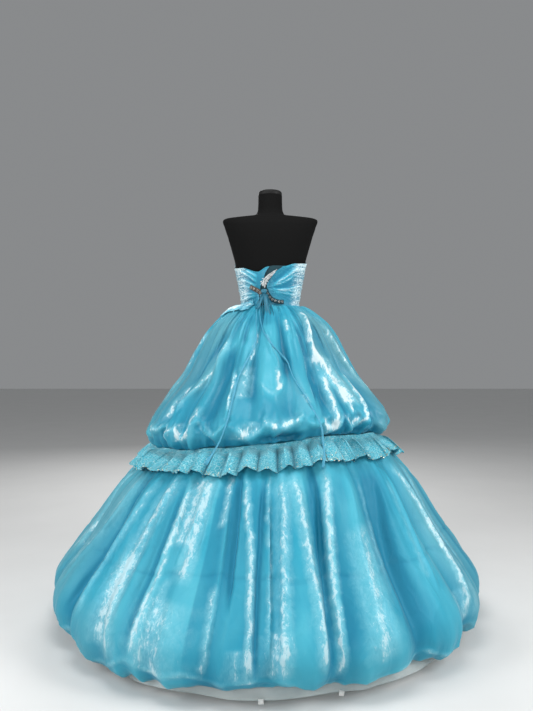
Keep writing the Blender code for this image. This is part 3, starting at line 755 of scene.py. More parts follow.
def makeGores(prefix, look, slot, rings, folds, settings, detail):
    made = []
    rows = lengthRows(rings, settings["tall"])[::-1]
    foldsEach = len(folds) // goreCount
    broad = settings["broad"]
    for number in range(goreCount):
        phase = number * foldsEach - 0.5 + foldsEach / broad * np.arange(-1, broad + 2)
        phase, row = np.meshgrid(phase, rows)
        along = np.linspace(1, 0, len(rows))[:, None] + 0 * phase
        angle = foldAngle(folds, phase)
        points = layerPoint(rings, folds, phase, row, settings["narrow"])
        radius = np.hypot(points[..., 0] - centreX(points[..., 2]), points[..., 1])
        outward = normalsOf(points)
        out, drop, gleam, shade = detail(angle, along, points[..., 2], radius)
        # painted shade where the sheer cloth lies over shadow
        veil = veilShadeField(settings.get("veilShades", []), angle, points[..., 2])
        # painted shade in the fold valleys, where the cloth sinks in and beside the pleats; partly the layers
        # lying doubled
        hollow = foldDepth(folds, phase, settings["narrow"]) / 0.030 * settings["hollow"]
        hollow = np.clip(hollow * ease(along / 0.3) - out / 0.018 + shade, 0, 1)
        points = points + outward * out[..., None]
        points[..., 2] += drop
        if "slide" in settings:
            turn = np.radians(angle)
            aside = settings["slide"](angle, along)
            points[..., 0] -= aside * np.sin(turn)
            points[..., 1] += aside * np.cos(turn)
        points = points[:, 1:-1]
        node = f"{prefix}_{number + 1}"
        item = wrapGrid(node + "_cloth", points, arcUv(points), look, settings["thick"],
                        marks={"gleam": gleam[:, 1:-1], "hollow": hollow[:, 1:-1],
                               "veil": veil[:, 1:-1]})
        ready(item, slot, node)
        flat, area = cutSize(points, settings["fullness"])
        made.append(points)
    print(prefix, "made")
    return made


# ---- petticoat and the sheer layer under the hem ----

petticoatSettings = {"tall": 40, "broad": 48, "narrow": 1.2, "thick": 0.0006, "fullness": 1.1, "hollow": 0,
                     "restsOn": ["form_torso"], "crumple": 0.004}


def petticoatDetail(angle, along, height, radius):
    out = petticoatSettings["crumple"] * lattice(11, 40, 7)(angle, along) * ends(along, 0.2, 0.05)
    return out, 0 * out, 0 * out, 0 * out


makeGores("petticoat", looks["petticoat"], "petticoat", petticoatRings, petticoatFolds,
          petticoatSettings, petticoatDetail)

underSettings = {"tall": 12, "broad": 60, "narrow": 1.0, "thick": 0.0005, "fullness": 1.1, "hollow": 0,
                 "restsOn": ["petticoat_1"], "frill": 0.005, "flare": 0.020, "hemWave": 0.004}


def underDetail(angle, along, height, radius):
    frill = lattice(12, 90, 2)(angle, along)
    out = underSettings["frill"] * frill * ease(along / 0.3)
    out = out + underSettings["flare"] * ease((along - 0.4) / 0.6)
    drop = underSettings["hemWave"] * lattice(13, 48, 1)(angle, along) * ease((along - 0.7) / 0.3)
    return out, drop, 0 * out, 0 * out


makeGores("under_flounce", looks["sheer"], "petticoat", underRings, petticoatFolds,
          underSettings, underDetail)

# ---- long lower skirt ----

skirtSettings = {"tall": 90, "broad": 140, "narrow": 2.6, "thick": 0.0008, "fullness": 1.15, "hollow": 0.55,
                 "restsOn": ["petticoat_1"],
                 # small gathers: how many go round, their depth, how far they run
                 "gathers": [(84, 0.0060, 0.30), (150, 0.0030, 0.18)],
                 "hemGathers": [(66, 0.0080, 0.13), (120, 0.0035, 0.07)],
                 "seam": 0.305, "seamDepth": 0.0022, "hemRidge": 0.075, "ridgeHeight": 0.0040,
                 "hemWave": 0.012, "zigzag": 0.0015, "crumple": 0.0024,
                 # patches of painted shade where the sheer cloth lies over shadow
                 "veilShades": [(20, 0.34, 14, 0.24, 0.55), (160, 0.32, 16, 0.26, 0.65), (48, 0.12, 8, 0.08, 0.35),
                           (200, 0.30, 9, 0.20, 0.4), (250, 0.30, 12, 0.20, 0.4), (310, 0.30, 10, 0.20, 0.4)]}

# top angle, top height, foot angle, foot height, bend, half width, depth out of the cloth
skirtCreases = [
    (31, 0.56, 24, 0.16, 2, 0.012, 0.007), (37, 0.57, 33, 0.10, 1, 0.016, -0.010),
    (45, 0.57, 42, 0.12, -2, 0.010, 0.007), (55.7, 0.58, 55.6, 0.07, -5, 0.016, 0.009),
    (60.5, 0.57, 59.5, 0.10, 0, 0.007, -0.006), (62.5, 0.57, 62.5, 0.10, 0, 0.008, 0.006),
    (69, 0.56, 65, 0.30, 1, 0.010, 0.006), (73.5, 0.57, 72, 0.33, 0, 0.008, 0.005),
    (77.5, 0.58, 77.5, 0.10, 0.5, 0.007, 0.008), (81, 0.58, 81, 0.22, 0, 0.009, -0.012),
    (82.8, 0.58, 86.4, 0.07, 1.5, 0.010, 0.009), (89.6, 0.58, 88, 0.06, -0.5, 0.009, -0.011),
    (90.8, 0.59, 90.4, 0.10, 0, 0.007, 0.008), (96, 0.60, 93, 0.09, 0, 0.009, 0.008),
    (99.3, 0.60, 101.4, 0.07, 1.2, 0.011, 0.009), (107.5, 0.60, 102.6, 0.08, 0, 0.009, -0.011),
    (111.5, 0.60, 105.2, 0.07, -1, 0.010, 0.009), (120, 0.60, 114, 0.12, -1, 0.018, 0.006),
    (126, 0.59, 121, 0.14, 0, 0.008, 0.004), (133, 0.60, 124, 0.10, -2, 0.015, -0.009),
    (140, 0.58, 135, 0.20, 1, 0.010, 0.006), (148.5, 0.58, 144, 0.09, 5, 0.010, 0.009),
    (157, 0.56, 153, 0.12, 2, 0.013, -0.007), (164, 0.56, 162, 0.15, 1, 0.010, 0.006),
] + hiddenCreases(21, 172, 384, 6.5, 0.57, 0.09, 0.011, 0.007) \
  + hiddenCreases(22, 175, 382, 9.5, 0.57, 0.12, 0.011, -0.009)

# painted highlight, partly the cloth's silvery sheen: pale crinkled bands; the same columns, with a strength
# in place of the depth
skirtGleams = [
    (30, 0.54, 22, 0.22, 2, 0.030, 0.55), (46, 0.54, 42, 0.14, -2, 0.016, 0.5),
    (55.7, 0.56, 55.2, 0.07, -5, 0.030, 1.0), (50, 0.34, 50.5, 0.10, -1, 0.034, 0.7),
    (62.6, 0.54, 60.8, 0.10, 0, 0.010, 0.9),
    (66.0, 0.56, 64.5, 0.36, 0, 0.026, 0.9), (70.5, 0.56, 68.5, 0.28, 0, 0.024, 1.05),
    (66.5, 0.26, 66, 0.06, 0, 0.075, 0.75), (64.5, 0.30, 62.5, 0.08, 0, 0.014, 0.5),
    (77.0, 0.57, 76.5, 0.42, 0.5, 0.009, 0.9), (77.0, 0.30, 77.0, 0.08, 0.5, 0.010, 0.7),
    (82.8, 0.58, 86.4, 0.07, 1.5, 0.010, 1.1), (84, 0.17, 84, 0.07, 0, 0.028, 0.6),
    (90.9, 0.58, 90.5, 0.16, 0, 0.007, 0.7), (95.6, 0.58, 93.4, 0.08, 0, 0.018, 0.9),
    (92, 0.20, 91, 0.08, 0, 0.034, 0.6), (99.3, 0.59, 101.4, 0.09, 1.2, 0.017, 1.0),
    (111.5, 0.60, 105.2, 0.07, -1, 0.012, 1.1), (119.5, 0.44, 114.5, 0.10, -1, 0.044, 0.85),
    (124, 0.55, 121, 0.25, 1, 0.010, 0.3), (137, 0.54, 134, 0.25, 1, 0.012, 0.4),
    (147, 0.58, 144, 0.09, 5, 0.013, 1.0), (150, 0.40, 147, 0.09, 4, 0.034, 0.45),
    (143, 0.20, 143, 0.10, 0, 0.026, 0.6), (164, 0.56, 162, 0.16, 1, 0.016, 0.5),
] + hiddenCreases(23, 178, 380, 11, 0.57, 0.08, 0.022, 0.8)

# painted shade along the pleats: as above, with the side it falls on
skirtShades = [
    (37, 0.60, 33, 0.06, 1, 0.070, 0.85, 1), (36.5, 0.60, 32.5, 0.06, 1, 0.014, 0.5, -1),
    (61, 0.60, 60.0, 0.06, 0, 0.045, 0.70, -1), (74.4, 0.60, 73.4, 0.06, 0, 0.050, 0.60, 1),
    (81.2, 0.60, 81.2, 0.24, 0, 0.030, 0.95, -1), (90, 0.60, 88, 0.05, -0.5, 0.060, 0.80, -1),
    (96.8, 0.60, 95.2, 0.10, 0, 0.022, 0.35, 1), (107.8, 0.62, 102.9, 0.06, 0, 0.026, 0.95, -1),
    (112.8, 0.62, 106.8, 0.06, -1, 0.055, 0.75, 1), (132, 0.62, 124.4, 0.07, -2, 0.050, 0.75, -1),
    (132, 0.62, 124.8, 0.07, -2, 0.060, 0.90, 1), (150, 0.60, 146, 0.10, 5, 0.050, 0.60, 1),
    (168, 0.58, 166, 0.08, 0, 0.050, 0.70, 1),
] + [(*crease, 1) for crease in hiddenCreases(27, 180, 380, 17, 0.59, 0.06, 0.055, 0.8)]

skirtWide = lattice(24, 170, 7)
skirtFine = lattice(25, 420, 52)
skirtHem = lattice(26, 54, 1)
seamLine = wander(28, 30)


def skirtDetail(angle, along, height, radius):
    out = gatherField(31, skirtSettings["gathers"], angle, along, 6)
    out += gatherField(35, skirtSettings["hemGathers"], angle, 1 - along, 3)
    out += creaseField(skirtCreases, angle, height, radius, skirtSettings["zigzag"])
    gleam = streakField(skirtGleams, angle, height, radius)
    shade = shadeField(skirtShades, angle, height, radius)
    out += skirtSettings["crumple"] * skirtWide(angle, along)
    out += (0.0003 + 0.0016 * np.clip(gleam, 0, 1)) * skirtFine(angle, along)
    seam = np.exp(-((height - skirtSettings["seam"] - 0.010 * seamLine(angle)) / 0.0045) ** 2)
    out -= skirtSettings["seamDepth"] * seam
    # painted shade darkens the cloth towards the hem; the seam line is darker too
    shade = shade + 0.10 * seam + 0.30 * ease((0.24 - height) / 0.20)
    ridge = np.exp(-((height - skirtSettings["hemRidge"] - 0.016 * skirtHem(angle, along)) / 0.006) ** 2)
    ridge = ridge * ease((along - 0.5) / 0.2)
    out += skirtSettings["ridgeHeight"] * ridge
    # painted highlight along the ridge above the hem
    gleam = gleam + 0.5 * ridge * (0.6 + zigzagFine(angle * 3))
    out *= ease(along / 0.02)
    drop = skirtSettings["hemWave"] * skirtHem(angle, along) * ease((0.24 - height) / 0.18)
    return out, drop, gleam, shade


makeGores("skirt", looks["skirt"], "organza", skirtRings, skirtFolds, skirtSettings, skirtDetail)

# ---- lace flounce with its sequins ----

laceSettings = {"tall": 16, "broad": 190, "narrow": 0.8, "thick": 0.0006, "fullness": 1.0, "hollow": 0,
                "restsOn": ["skirt_1"], "scallops": 150, "scallopDepth": 0.0060, "flutes": 53,
                "fluteDepth": 0.0200, "overhang": 0.0088}
laceDrift = wander(41, 31)
laceSize = wander(44, 47)
laceHem = lattice(42, 70, 1)


def laceTurn(angle):
    # how far through its flutes the gathered lace is, unevenly
    return np.radians(laceSettings["flutes"] * angle) + 1.9 * laceDrift(angle)


def laceSlide(angle, along):
    # every flute folds over towards its neighbour
    full = 0.75 + 0.35 * laceSize(angle)
    return laceSettings["overhang"] * full * np.sin(2 * laceTurn(angle) + 0.5) * ease(along / 0.45)


laceSettings["slide"] = laceSlide


def laceDetail(angle, along, height, radius):
    full = 0.75 + 0.45 * laceSize(angle)
    out = laceSettings["fluteDepth"] * full * np.sin(laceTurn(angle)) * ease(along / 0.45)
    out += gatherField(43, [(150, 0.0030, 0.6)], angle, along, 2)
    out += 0.006 * ease(along) - 0.002
    out *= ease(along / 0.1)
    turn = angle * laceSettings["scallops"] / 360
    drop = -laceSettings["scallopDepth"] * np.abs(np.sin(np.pi * turn)) * ease((along - 0.6) / 0.4)
    drop += (0.012 * laceHem(angle, along) - 0.004 * np.sin(laceTurn(angle))) * ease(along)
    return out, drop + 0.010 * along, 0 * out, 0 * out


lacePoints = makeGores("lace", looks["lace"], "lace", laceRings, ruffles, laceSettings, laceDetail)

# rows: how far up the lace, and the share of places that hold a sequin
sequinSettings = {"rows": ((0.4, 0.9), (1.6, 0.5), (3.4, 0.3)), "radius": 0.0015, "thick": 0.0006,
                  "lift": 0.0009, "tilt": 0.35, "sizes": (0.75, 1.25)}


def placeCopies(item, spots):
    # one joined mesh with a copy of the item's mesh at each spot: its place, facing and size
    copies = item.modifiers.new("copies", "ARRAY")
    copies.count = len(spots)
    copies.use_merge_vertices = False
    alone(item)
    bpy.ops.object.modifier_apply(modifier="copies")
    shapes = pointsOf(item).reshape(len(spots), -1, 3)
    shape = shapes[0].copy()
    for index, (spot, out, size) in enumerate(spots):
        turn = np.array(Vector(out).to_track_quat("Z", "Y").to_matrix())
        shapes[index] = shape * size @ turn.T + spot
    movePoints(item, shapes)


def addSequins(number, points):
    # small discs along the lower edge and scattered up the lace
    dice = np.random.default_rng(60 + number)
    outward = normalsOf(points)
    chosen = []
    for line, share in sequinSettings["rows"]:
        for column in range(1, points.shape[1] - 1, 2):
            if dice.random() < share:
                chosen.append((int(np.clip(line + dice.integers(0, 2), 0, points.shape[0] - 1)), column))
    item = added(f"sequins_{number + 1}", bpy.ops.mesh.primitive_cylinder_add, vertices=6,
                 radius=sequinSettings["radius"], depth=sequinSettings["thick"])
    tilt = sequinSettings["tilt"]
    placeCopies(item, [(points[spot] + outward[spot] * sequinSettings["lift"],
                        outward[spot] + dice.uniform(-tilt, tilt, 3),
                        dice.uniform(*sequinSettings["sizes"])) for spot in chosen])
    dress(item, looks["sequin"], 30)
    return ready(item, "lace")


for number, points in enumerate(lacePoints):
    addSequins(number, points)
print("sequins made")

# ---- puffed overskirt ----

overskirtSettings = {"tall": 108, "broad": 104, "narrow": 1.5, "thick": 0.0008, "fullness": 1.15,
                     "hollow": 0.35, "restsOn": ["petticoat_1"],
                     "gathers": [(100, 0.0048, 0.34), (190, 0.0026, 0.20)],
                     "hemGathers": [(84, 0.0080, 0.13), (150, 0.0040, 0.08)],
                     "zigzag": 0.0022, "crumple": 0.0026, "sink": 0.005, "lowBand": (0.84, 0.07),
                     # patches of painted shade where the sheer cloth lies over shadow
                     "veilShades": [(36, 0.95, 18, 0.15, 0.75), (18, 0.76, 14, 0.12, 0.7),
                               (136, 1.00, 15, 0.10, 0.95), (160, 0.84, 14, 0.24, 0.85),
                               (134, 0.84, 7, 0.08, 0.5), (76, 0.85, 4, 0.05, 0.35),
                               (210, 0.90, 14, 0.16, 0.6), (262, 0.84, 12, 0.14, 0.5),
                               (318, 0.92, 15, 0.15, 0.6)]}

overskirtCreases = [
    (20, 1.06, 15, 0.76, 2, 0.022, 0.006), (56, 1.01, 37, 0.72, 2, 0.016, 0.010),
    (50, 1.04, 31, 0.74, 0, 0.016, -0.007), (40, 0.87, 33, 0.71, -4, 0.010, 0.008),
    (60, 1.09, 54, 0.92, 0, 0.012, -0.006), (58, 0.96, 60, 0.66, 2, 0.020, -0.009),
    (66.5, 0.90, 71.5, 0.72, 0, 0.007, 0.007), (78.8, 1.05, 77, 0.90, 0, 0.007, 0.006),
    (75.5, 0.97, 80.2, 0.77, 1.5, 0.014, -0.006), (72, 1.09, 70, 0.96, 0, 0.008, -0.007),
    (66, 1.08, 61, 0.94, 0, 0.008, 0.005), (88, 1.06, 89.0, 0.80, 0, 0.055, 0.010),
    (85, 1.03, 96, 0.87, 0, 0.006, 0.006), (98, 1.08, 100, 0.84, 0, 0.013, -0.007),
    (103, 1.08, 104, 0.90, 0, 0.012, 0.005), (104, 1.09, 106, 0.98, 0, 0.007, 0.006),
    (111, 1.09, 110.2, 0.74, 4, 0.005, -0.008), (113, 1.09, 112.5, 0.76, 5, 0.006, 0.006),
    (127, 1.10, 120.6, 0.90, -1, 0.009, 0.014), (120.6, 0.97, 129.5, 0.70, 3, 0.010, 0.014),
    (123, 1.08, 116, 0.74, -2, 0.010, -0.009), (123, 0.88, 118.5, 0.68, -1, 0.011, 0.012),
    (127, 0.98, 134, 0.74, 1, 0.030, 0.006), (142, 0.90, 130.5, 0.67, 3, 0.010, 0.012),
    (133, 1.08, 138, 0.84, -2, 0.014, -0.009), (150, 1.09, 160, 0.76, 0, 0.016, 0.009),
    (147, 0.84, 140, 0.68, 0, 0.020, -0.011), (168, 1.06, 170, 0.74, 0, 0.014, -0.007),
] + hiddenCreases(51, 180, 374, 11, 1.08, 0.74, 0.015, 0.009) \
  + hiddenCreases(52, 184, 372, 14, 1.08, 0.74, 0.014, -0.010)

# middle angle, lowest height, half span, rise at the ends, width, depth: where the puff sags
overskirtSwags = [
    (91, 0.806, 8.5, 0.045, 0.013, 0.006), (92.5, 0.765, 9.5, -0.010, 0.030, -0.005),
    (95.5, 0.700, 9.5, 0.032, 0.016, 0.014), (96, 0.660, 11, 0.012, 0.013, -0.014),
    (82, 0.676, 7, 0.042, 0.015, 0.013), (74, 0.642, 10, 0.010, 0.012, -0.008),
    (66, 0.690, 7, 0.060, 0.012, 0.011), (62, 0.640, 9, 0.012, 0.012, -0.007),
    (50, 0.688, 6, 0.045, 0.013, 0.013), (39, 0.700, 6, 0.035, 0.013, 0.012),
    (44, 0.648, 10, 0.010, 0.012, -0.009), (29, 0.714, 7, 0.035, 0.014, 0.012),
    (16, 0.690, 9, 0.040, 0.015, 0.011), (58, 0.745, 5, -0.030, 0.012, 0.006),
    (109, 0.694, 5, 0.030, 0.012, 0.010), (117, 0.672, 6, 0.040, 0.013, 0.013),
    (121, 0.640, 10, 0.012, 0.012, -0.011), (128, 0.674, 6, 0.045, 0.013, 0.014),
    (139, 0.680, 7, 0.050, 0.015, 0.012), (146, 0.646, 10, 0.010, 0.012, -0.009),
    (155, 0.672, 8, 0.040, 0.015, 0.011), (169, 0.690, 8, 0.030, 0.015, 0.011),
    (186, 0.675, 9, 0.035, 0.015, 0.012), (201, 0.700, 9, 0.045, 0.014, 0.012),
    (216, 0.670, 9, 0.030, 0.014, 0.013), (232, 0.690, 9, 0.045, 0.015, 0.012),
    (247, 0.668, 9, 0.034, 0.014, 0.012), (263, 0.700, 10, 0.040, 0.014, 0.013),
    (279, 0.672, 9, 0.030, 0.015, 0.012), (295, 0.692, 9, 0.045, 0.014, 0.012),
    (310, 0.668, 9, 0.030, 0.015, 0.013), (326, 0.696, 9, 0.040, 0.014, 0.012),
    (341, 0.672, 9, 0.035, 0.015, 0.012), (356, 0.690, 9, 0.040, 0.014, 0.012),
]

# painted highlight, partly the cloth's silvery sheen: pale streaks; columns as for the creases, with a
# strength in place of the depth
overskirtGleams = [
    (56, 1.00, 37, 0.73, 2, 0.012, 0.75), (40, 0.86, 33, 0.71, -4, 0.013, 0.8),
    (38.5, 0.71, 38.5, 0.63, 0, 0.012, 1.1), (46, 0.71, 46, 0.64, 0, 0.014, 0.8),
    (54.5, 0.77, 53.5, 0.65, 0, 0.018, 0.9), (58, 0.725, 66, 0.665, -1.5, 0.004, 0.7),
    (67.2, 0.88, 71.2, 0.75, 0, 0.006, 1.0), (74.8, 0.90, 75.4, 0.79, 0, 0.020, 0.7),
    (78.8, 1.01, 77, 0.91, 0, 0.005, 0.9), (94.4, 0.885, 94.4, 0.815, 0, 0.009, 1.4),
    (86, 1.00, 96, 0.88, 1.5, 0.004, 0.5), (104.2, 1.055, 104.2, 1.010, 0, 0.006, 1.0),
    (107, 0.810, 107, 0.780, 0, 0.009, 0.9), (111, 1.02, 110, 0.79, 4, 0.0035, 0.6),
    (127, 1.09, 120.8, 0.90, -1, 0.009, 1.35), (120.8, 0.96, 130, 0.73, 3, 0.009, 1.3),
    (124, 0.94, 132.5, 0.76, 2, 0.036, 1.25), (122.8, 0.87, 118.5, 0.68, -1, 0.012, 1.2),
    (142, 0.88, 130.5, 0.69, 3, 0.007, 1.1), (127.5, 1.02, 129, 0.90, 0, 0.010, 0.5),
    (114, 0.74, 114, 0.67, 0, 0.009, 0.9), (83, 0.73, 77, 0.66, 0, 0.022, 0.7),
    (150, 1.05, 160, 0.78, 0, 0.010, 0.8),
] + hiddenCreases(53, 182, 374, 15, 1.04, 0.74, 0.016, 0.9)

# painted highlight: pale crumpled cloth along the sagging edge: middle angle, height, half span, rise, width,
# strength
overskirtShine = [
    (95.5, 0.710, 10, 0.034, 0.015, 1.0), (82, 0.688, 7, 0.040, 0.013, 0.7),
    (66, 0.698, 6, 0.055, 0.008, 0.5), (50, 0.694, 6, 0.045, 0.013, 0.8),
    (39, 0.704, 6, 0.035, 0.014, 1.1), (28, 0.715, 6, 0.035, 0.012, 0.8),
    (117, 0.686, 6, 0.040, 0.012, 0.9), (128, 0.690, 6, 0.045, 0.012, 1.0),
    (91, 0.812, 7.5, 0.045, 0.007, 0.8),
    (205, 0.700, 10, 0.040, 0.014, 0.8), (240, 0.690, 10, 0.040, 0.014, 0.8),
    (275, 0.700, 11, 0.040, 0.015, 0.9), (312, 0.690, 10, 0.040, 0.014, 0.8),
    (345, 0.690, 10, 0.040, 0.013, 0.7),
]

# painted shade along the pleats: as above, with the side it falls on
overskirtShades = [
    (59, 0.98, 61, 0.66, 2, 0.050, 0.55, 1), (76.2, 0.97, 80.2, 0.74, 1.5, 0.016, 0.28, 1),
    (98.5, 1.06, 98.5, 0.82, 0, 0.030, 0.40, 1), (111.2, 1.09, 110.2, 0.68, 4, 0.020, 0.55, 1),
    (117, 1.08, 116, 0.74, 0, 0.026, 0.60, -1), (125, 0.84, 123, 0.68, -1, 0.014, 0.7, 1),
    (144, 0.85, 138, 0.66, 0, 0.040, 0.80, 1), (70, 1.09, 69, 0.96, 0, 0.015, 0.6, -1),
    (82, 1.10, 84, 0.98, 0, 0.030, 0.7, -1), (84, 1.10, 85, 1.02, 0, 0.030, 0.7, 1),
    (49, 0.99, 34, 0.74, 0, 0.014, 0.5, -1),
] + [(*crease, 1) for crease in hiddenCreases(57, 184, 376, 20, 1.07, 0.72, 0.035, 0.7)]

overskirtWide = lattice(54, 110, 5)
overskirtFine = lattice(55, 240, 26)


def overskirtDetail(angle, along, height, radius):
    out = gatherField(56, overskirtSettings["gathers"], angle, along, 9)
    out += gatherField(59, overskirtSettings["hemGathers"], angle, 1 - along, 4)
    out += creaseField(overskirtCreases, angle, height, radius, overskirtSettings["zigzag"])
    level = height - aroundTable(seamRise, angle) + 0.045  # the swags follow the seam's climb
    out += swagField(overskirtSwags, angle, level, radius)
    gleam = streakField(overskirtGleams, angle, height, radius)
    shine = swagField(overskirtShine, angle, level, radius)
    middle, width = overskirtSettings["lowBand"]
    lowBand = np.exp(-((along - middle) / width) ** 2)
    # painted highlight along the sagging edge
    gleam = gleam + shine * (0.75 + 0.5 * overskirtFine(angle, along))
    shade = shadeField(overskirtShades, angle, height, radius)
    # painted shade on the puff's underside, next to its hem
    shade = shade + 0.45 * np.exp(-((along - 0.97) / 0.06) ** 2)
    out += overskirtSettings["crumple"] * overskirtWide(angle, along) * ease(along / 0.25)
    out += (0.0002 + 0.0014 * np.clip(gleam, 0, 1) + 0.0022 * lowBand) * overskirtFine(angle, along)
    out -= overskirtSettings["sink"] * ease(along / 0.5)
    out *= ease(along / 0.03) * (1 - 0.7 * ease((along - 0.94) / 0.06))
    return out, 0 * out, gleam, shade


overskirtPoints = makeGores("overskirt", looks["overskirt"], "organza", overskirtRings, overskirtFolds,
                            overskirtSettings, overskirtDetail)

# ---- tubes and routes ----


def smoothRoute(controls, step):
    controls = np.array(controls, float)
    fine = betweenRows(controls, np.linspace(0, len(controls) - 1, 24 * len(controls)))
    walked = walkedAlong(fine)
    count = max(3, int(round(walked[-1] / step)) + 1)
    spread = np.linspace(0, walked[-1], count)
    return np.stack([np.interp(spread, walked, fine[:, axis]) for axis in range(3)], axis=1)


def unit(vectors):
    return vectors / np.maximum(np.linalg.norm(vectors, axis=-1, keepdims=True), 1e-9)


def wrapTube(name, path, wide, thick, facing, look, sides=12, twist=0.0):
    # an oval tube along a path: half width and half thickness at each point, flat side to facing
    along = unit(np.gradient(path, axis=0))
    across = unit(np.cross(facing, along))
    outward = unit(np.cross(along, across))
    turn = np.broadcast_to(twist, len(path))[:, None]
    side = across * np.cos(turn) + outward * np.sin(turn)
    front = outward * np.cos(turn) - across * np.sin(turn)
    angle = np.linspace(0, 2 * np.pi, sides + 1)
    wide = np.broadcast_to(wide, len(path))[:, None, None]
    thick = np.broadcast_to(thick, len(path))[:, None, None]
    points = (path[:, None] + side[:, None] * wide * np.cos(angle)[None, :, None]
              + front[:, None] * thick * np.sin(angle)[None, :, None])
    item = wrapGrid(name, points[:, ::-1], arcUv(points), look)
    closeTube(item)
    return item


def closeTube(item):
    # joins the seam and fills the ends
    alone(item)
    bpy.ops.object.mode_set(mode="EDIT")
    bpy.ops.mesh.select_all(action="SELECT")
    bpy.ops.mesh.remove_doubles(threshold=0.00001)
    bpy.ops.mesh.select_all(action="DESELECT")
    bpy.ops.mesh.select_mode(type="EDGE")
    bpy.ops.mesh.select_non_manifold()
    bpy.ops.mesh.fill_holes(sides=0)
    bpy.ops.mesh.select_all(action="SELECT")
    bpy.ops.mesh.normals_make_consistent(inside=False)
    bpy.ops.object.mode_set(mode="OBJECT")


def strokeField(strokes, angle, height, radius):
    # strokes: start angle and height, end angle and height, bow, half width, depth
    total = np.zeros_like(angle)
    for startAngle, startHeight, endAngle, endHeight, bow, width, depth in strokes:
        run = np.radians(endAngle - startAngle) * radius
        climb = endHeight - startHeight
        reach = np.hypot(run, climb)
        x = np.radians(turnFrom(angle, startAngle)) * radius
        y = height - startHeight
        along = (x * run + y * climb) / reach ** 2
        away = (x * climb - y * run) / reach - bow * np.sin(np.pi * np.clip(along, 0, 1))
        total += depth * np.exp(-(away / width) ** 2) * ends(along, 0.2, 0.2)
    return total


# ---- dress form and stand ----


def makeForm():
    rows = np.linspace(0, len(formRings) - 1, formSettings["tall"])
    height = np.interp(rows, np.arange(len(formRings)), formRings[:, 0])
    angle = np.linspace(0, 360, formSettings["around"] + 1)
    angle, height = np.meshgrid(angle, height)
    points = formPoint(angle, height)
    item = wrapGrid("form_body", points, arcUv(points), looks["form"])
    closeTube(item)
    dress(item, looks["form"], 50)
    return ready(item, "form", "form_torso")


def makeNeckCap():
    low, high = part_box("form_neck_cap")
    item = added("neck_cap", bpy.ops.mesh.primitive_cylinder_add, vertices=64,
                 radius=(high.x - low.x) / 2, depth=high.z - low.z, location=(low + high) / 2)
    bpy.ops.object.transform_apply(location=True, rotation=True, scale=True)
    bpy.ops.object.mode_set(mode="EDIT")
    bpy.ops.mesh.select_all(action="DESELECT")
    bpy.ops.mesh.select_mode(type="FACE")
    bpy.ops.object.mode_set(mode="OBJECT")
    for face in item.data.polygons:
        face.select = face.normal.z > 0.9
    bpy.ops.object.mode_set(mode="EDIT")
    bpy.ops.mesh.bevel(offset=0.008, segments=5, affect="EDGES")
    bpy.ops.object.mode_set(mode="OBJECT")
    dress(item, looks["stand"], 50)
    return ready(item, "stand", "form_neck_cap")


makeForm()
makeNeckCap()
for node in ("form_pole", "form_base"):  # these two stay as the frame has them
    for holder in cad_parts[node].material_slots:
        holder.material = looks["stand"]
print("dress form made")

# ---- bodice ----

# height of the upper edge round the body
topEdge = [(0, 1.258), (40, 1.253), (72, 1.236), (88, 1.254), (108, 1.256), (130, 1.268), (180, 1.276),
           (205, 1.300), (232, 1.330), (250, 1.332), (270, 1.308), (290, 1.332), (308, 1.330),
           (335, 1.292)]
# the lacing gap: height, angle of its left edge, of its right edge
lacingGap = np.array([(1.112, 69, 87), (1.150, 71, 86), (1.195, 74.5, 85.5), (1.235, 82, 92),
                      (1.280, 90, 110)])
bodiceSettings = {"tall": 84, "thick": 0.0009, "lacing": 78, "ruche": 1.180,
                  "restsOn": ["form_torso"]}

# panel: start angle, end angle, columns; None is the lacing gap's edge
bodicePanels = {
    "bodice_back_left": (12, None, 110),
    "bodice_back_right": (None, 168, 130),
    "bodice_side_right": (168, 216, 76),
    "bodice_front": (216, 324, 110),
    "bodice_side_left": (324, 372, 76),
}

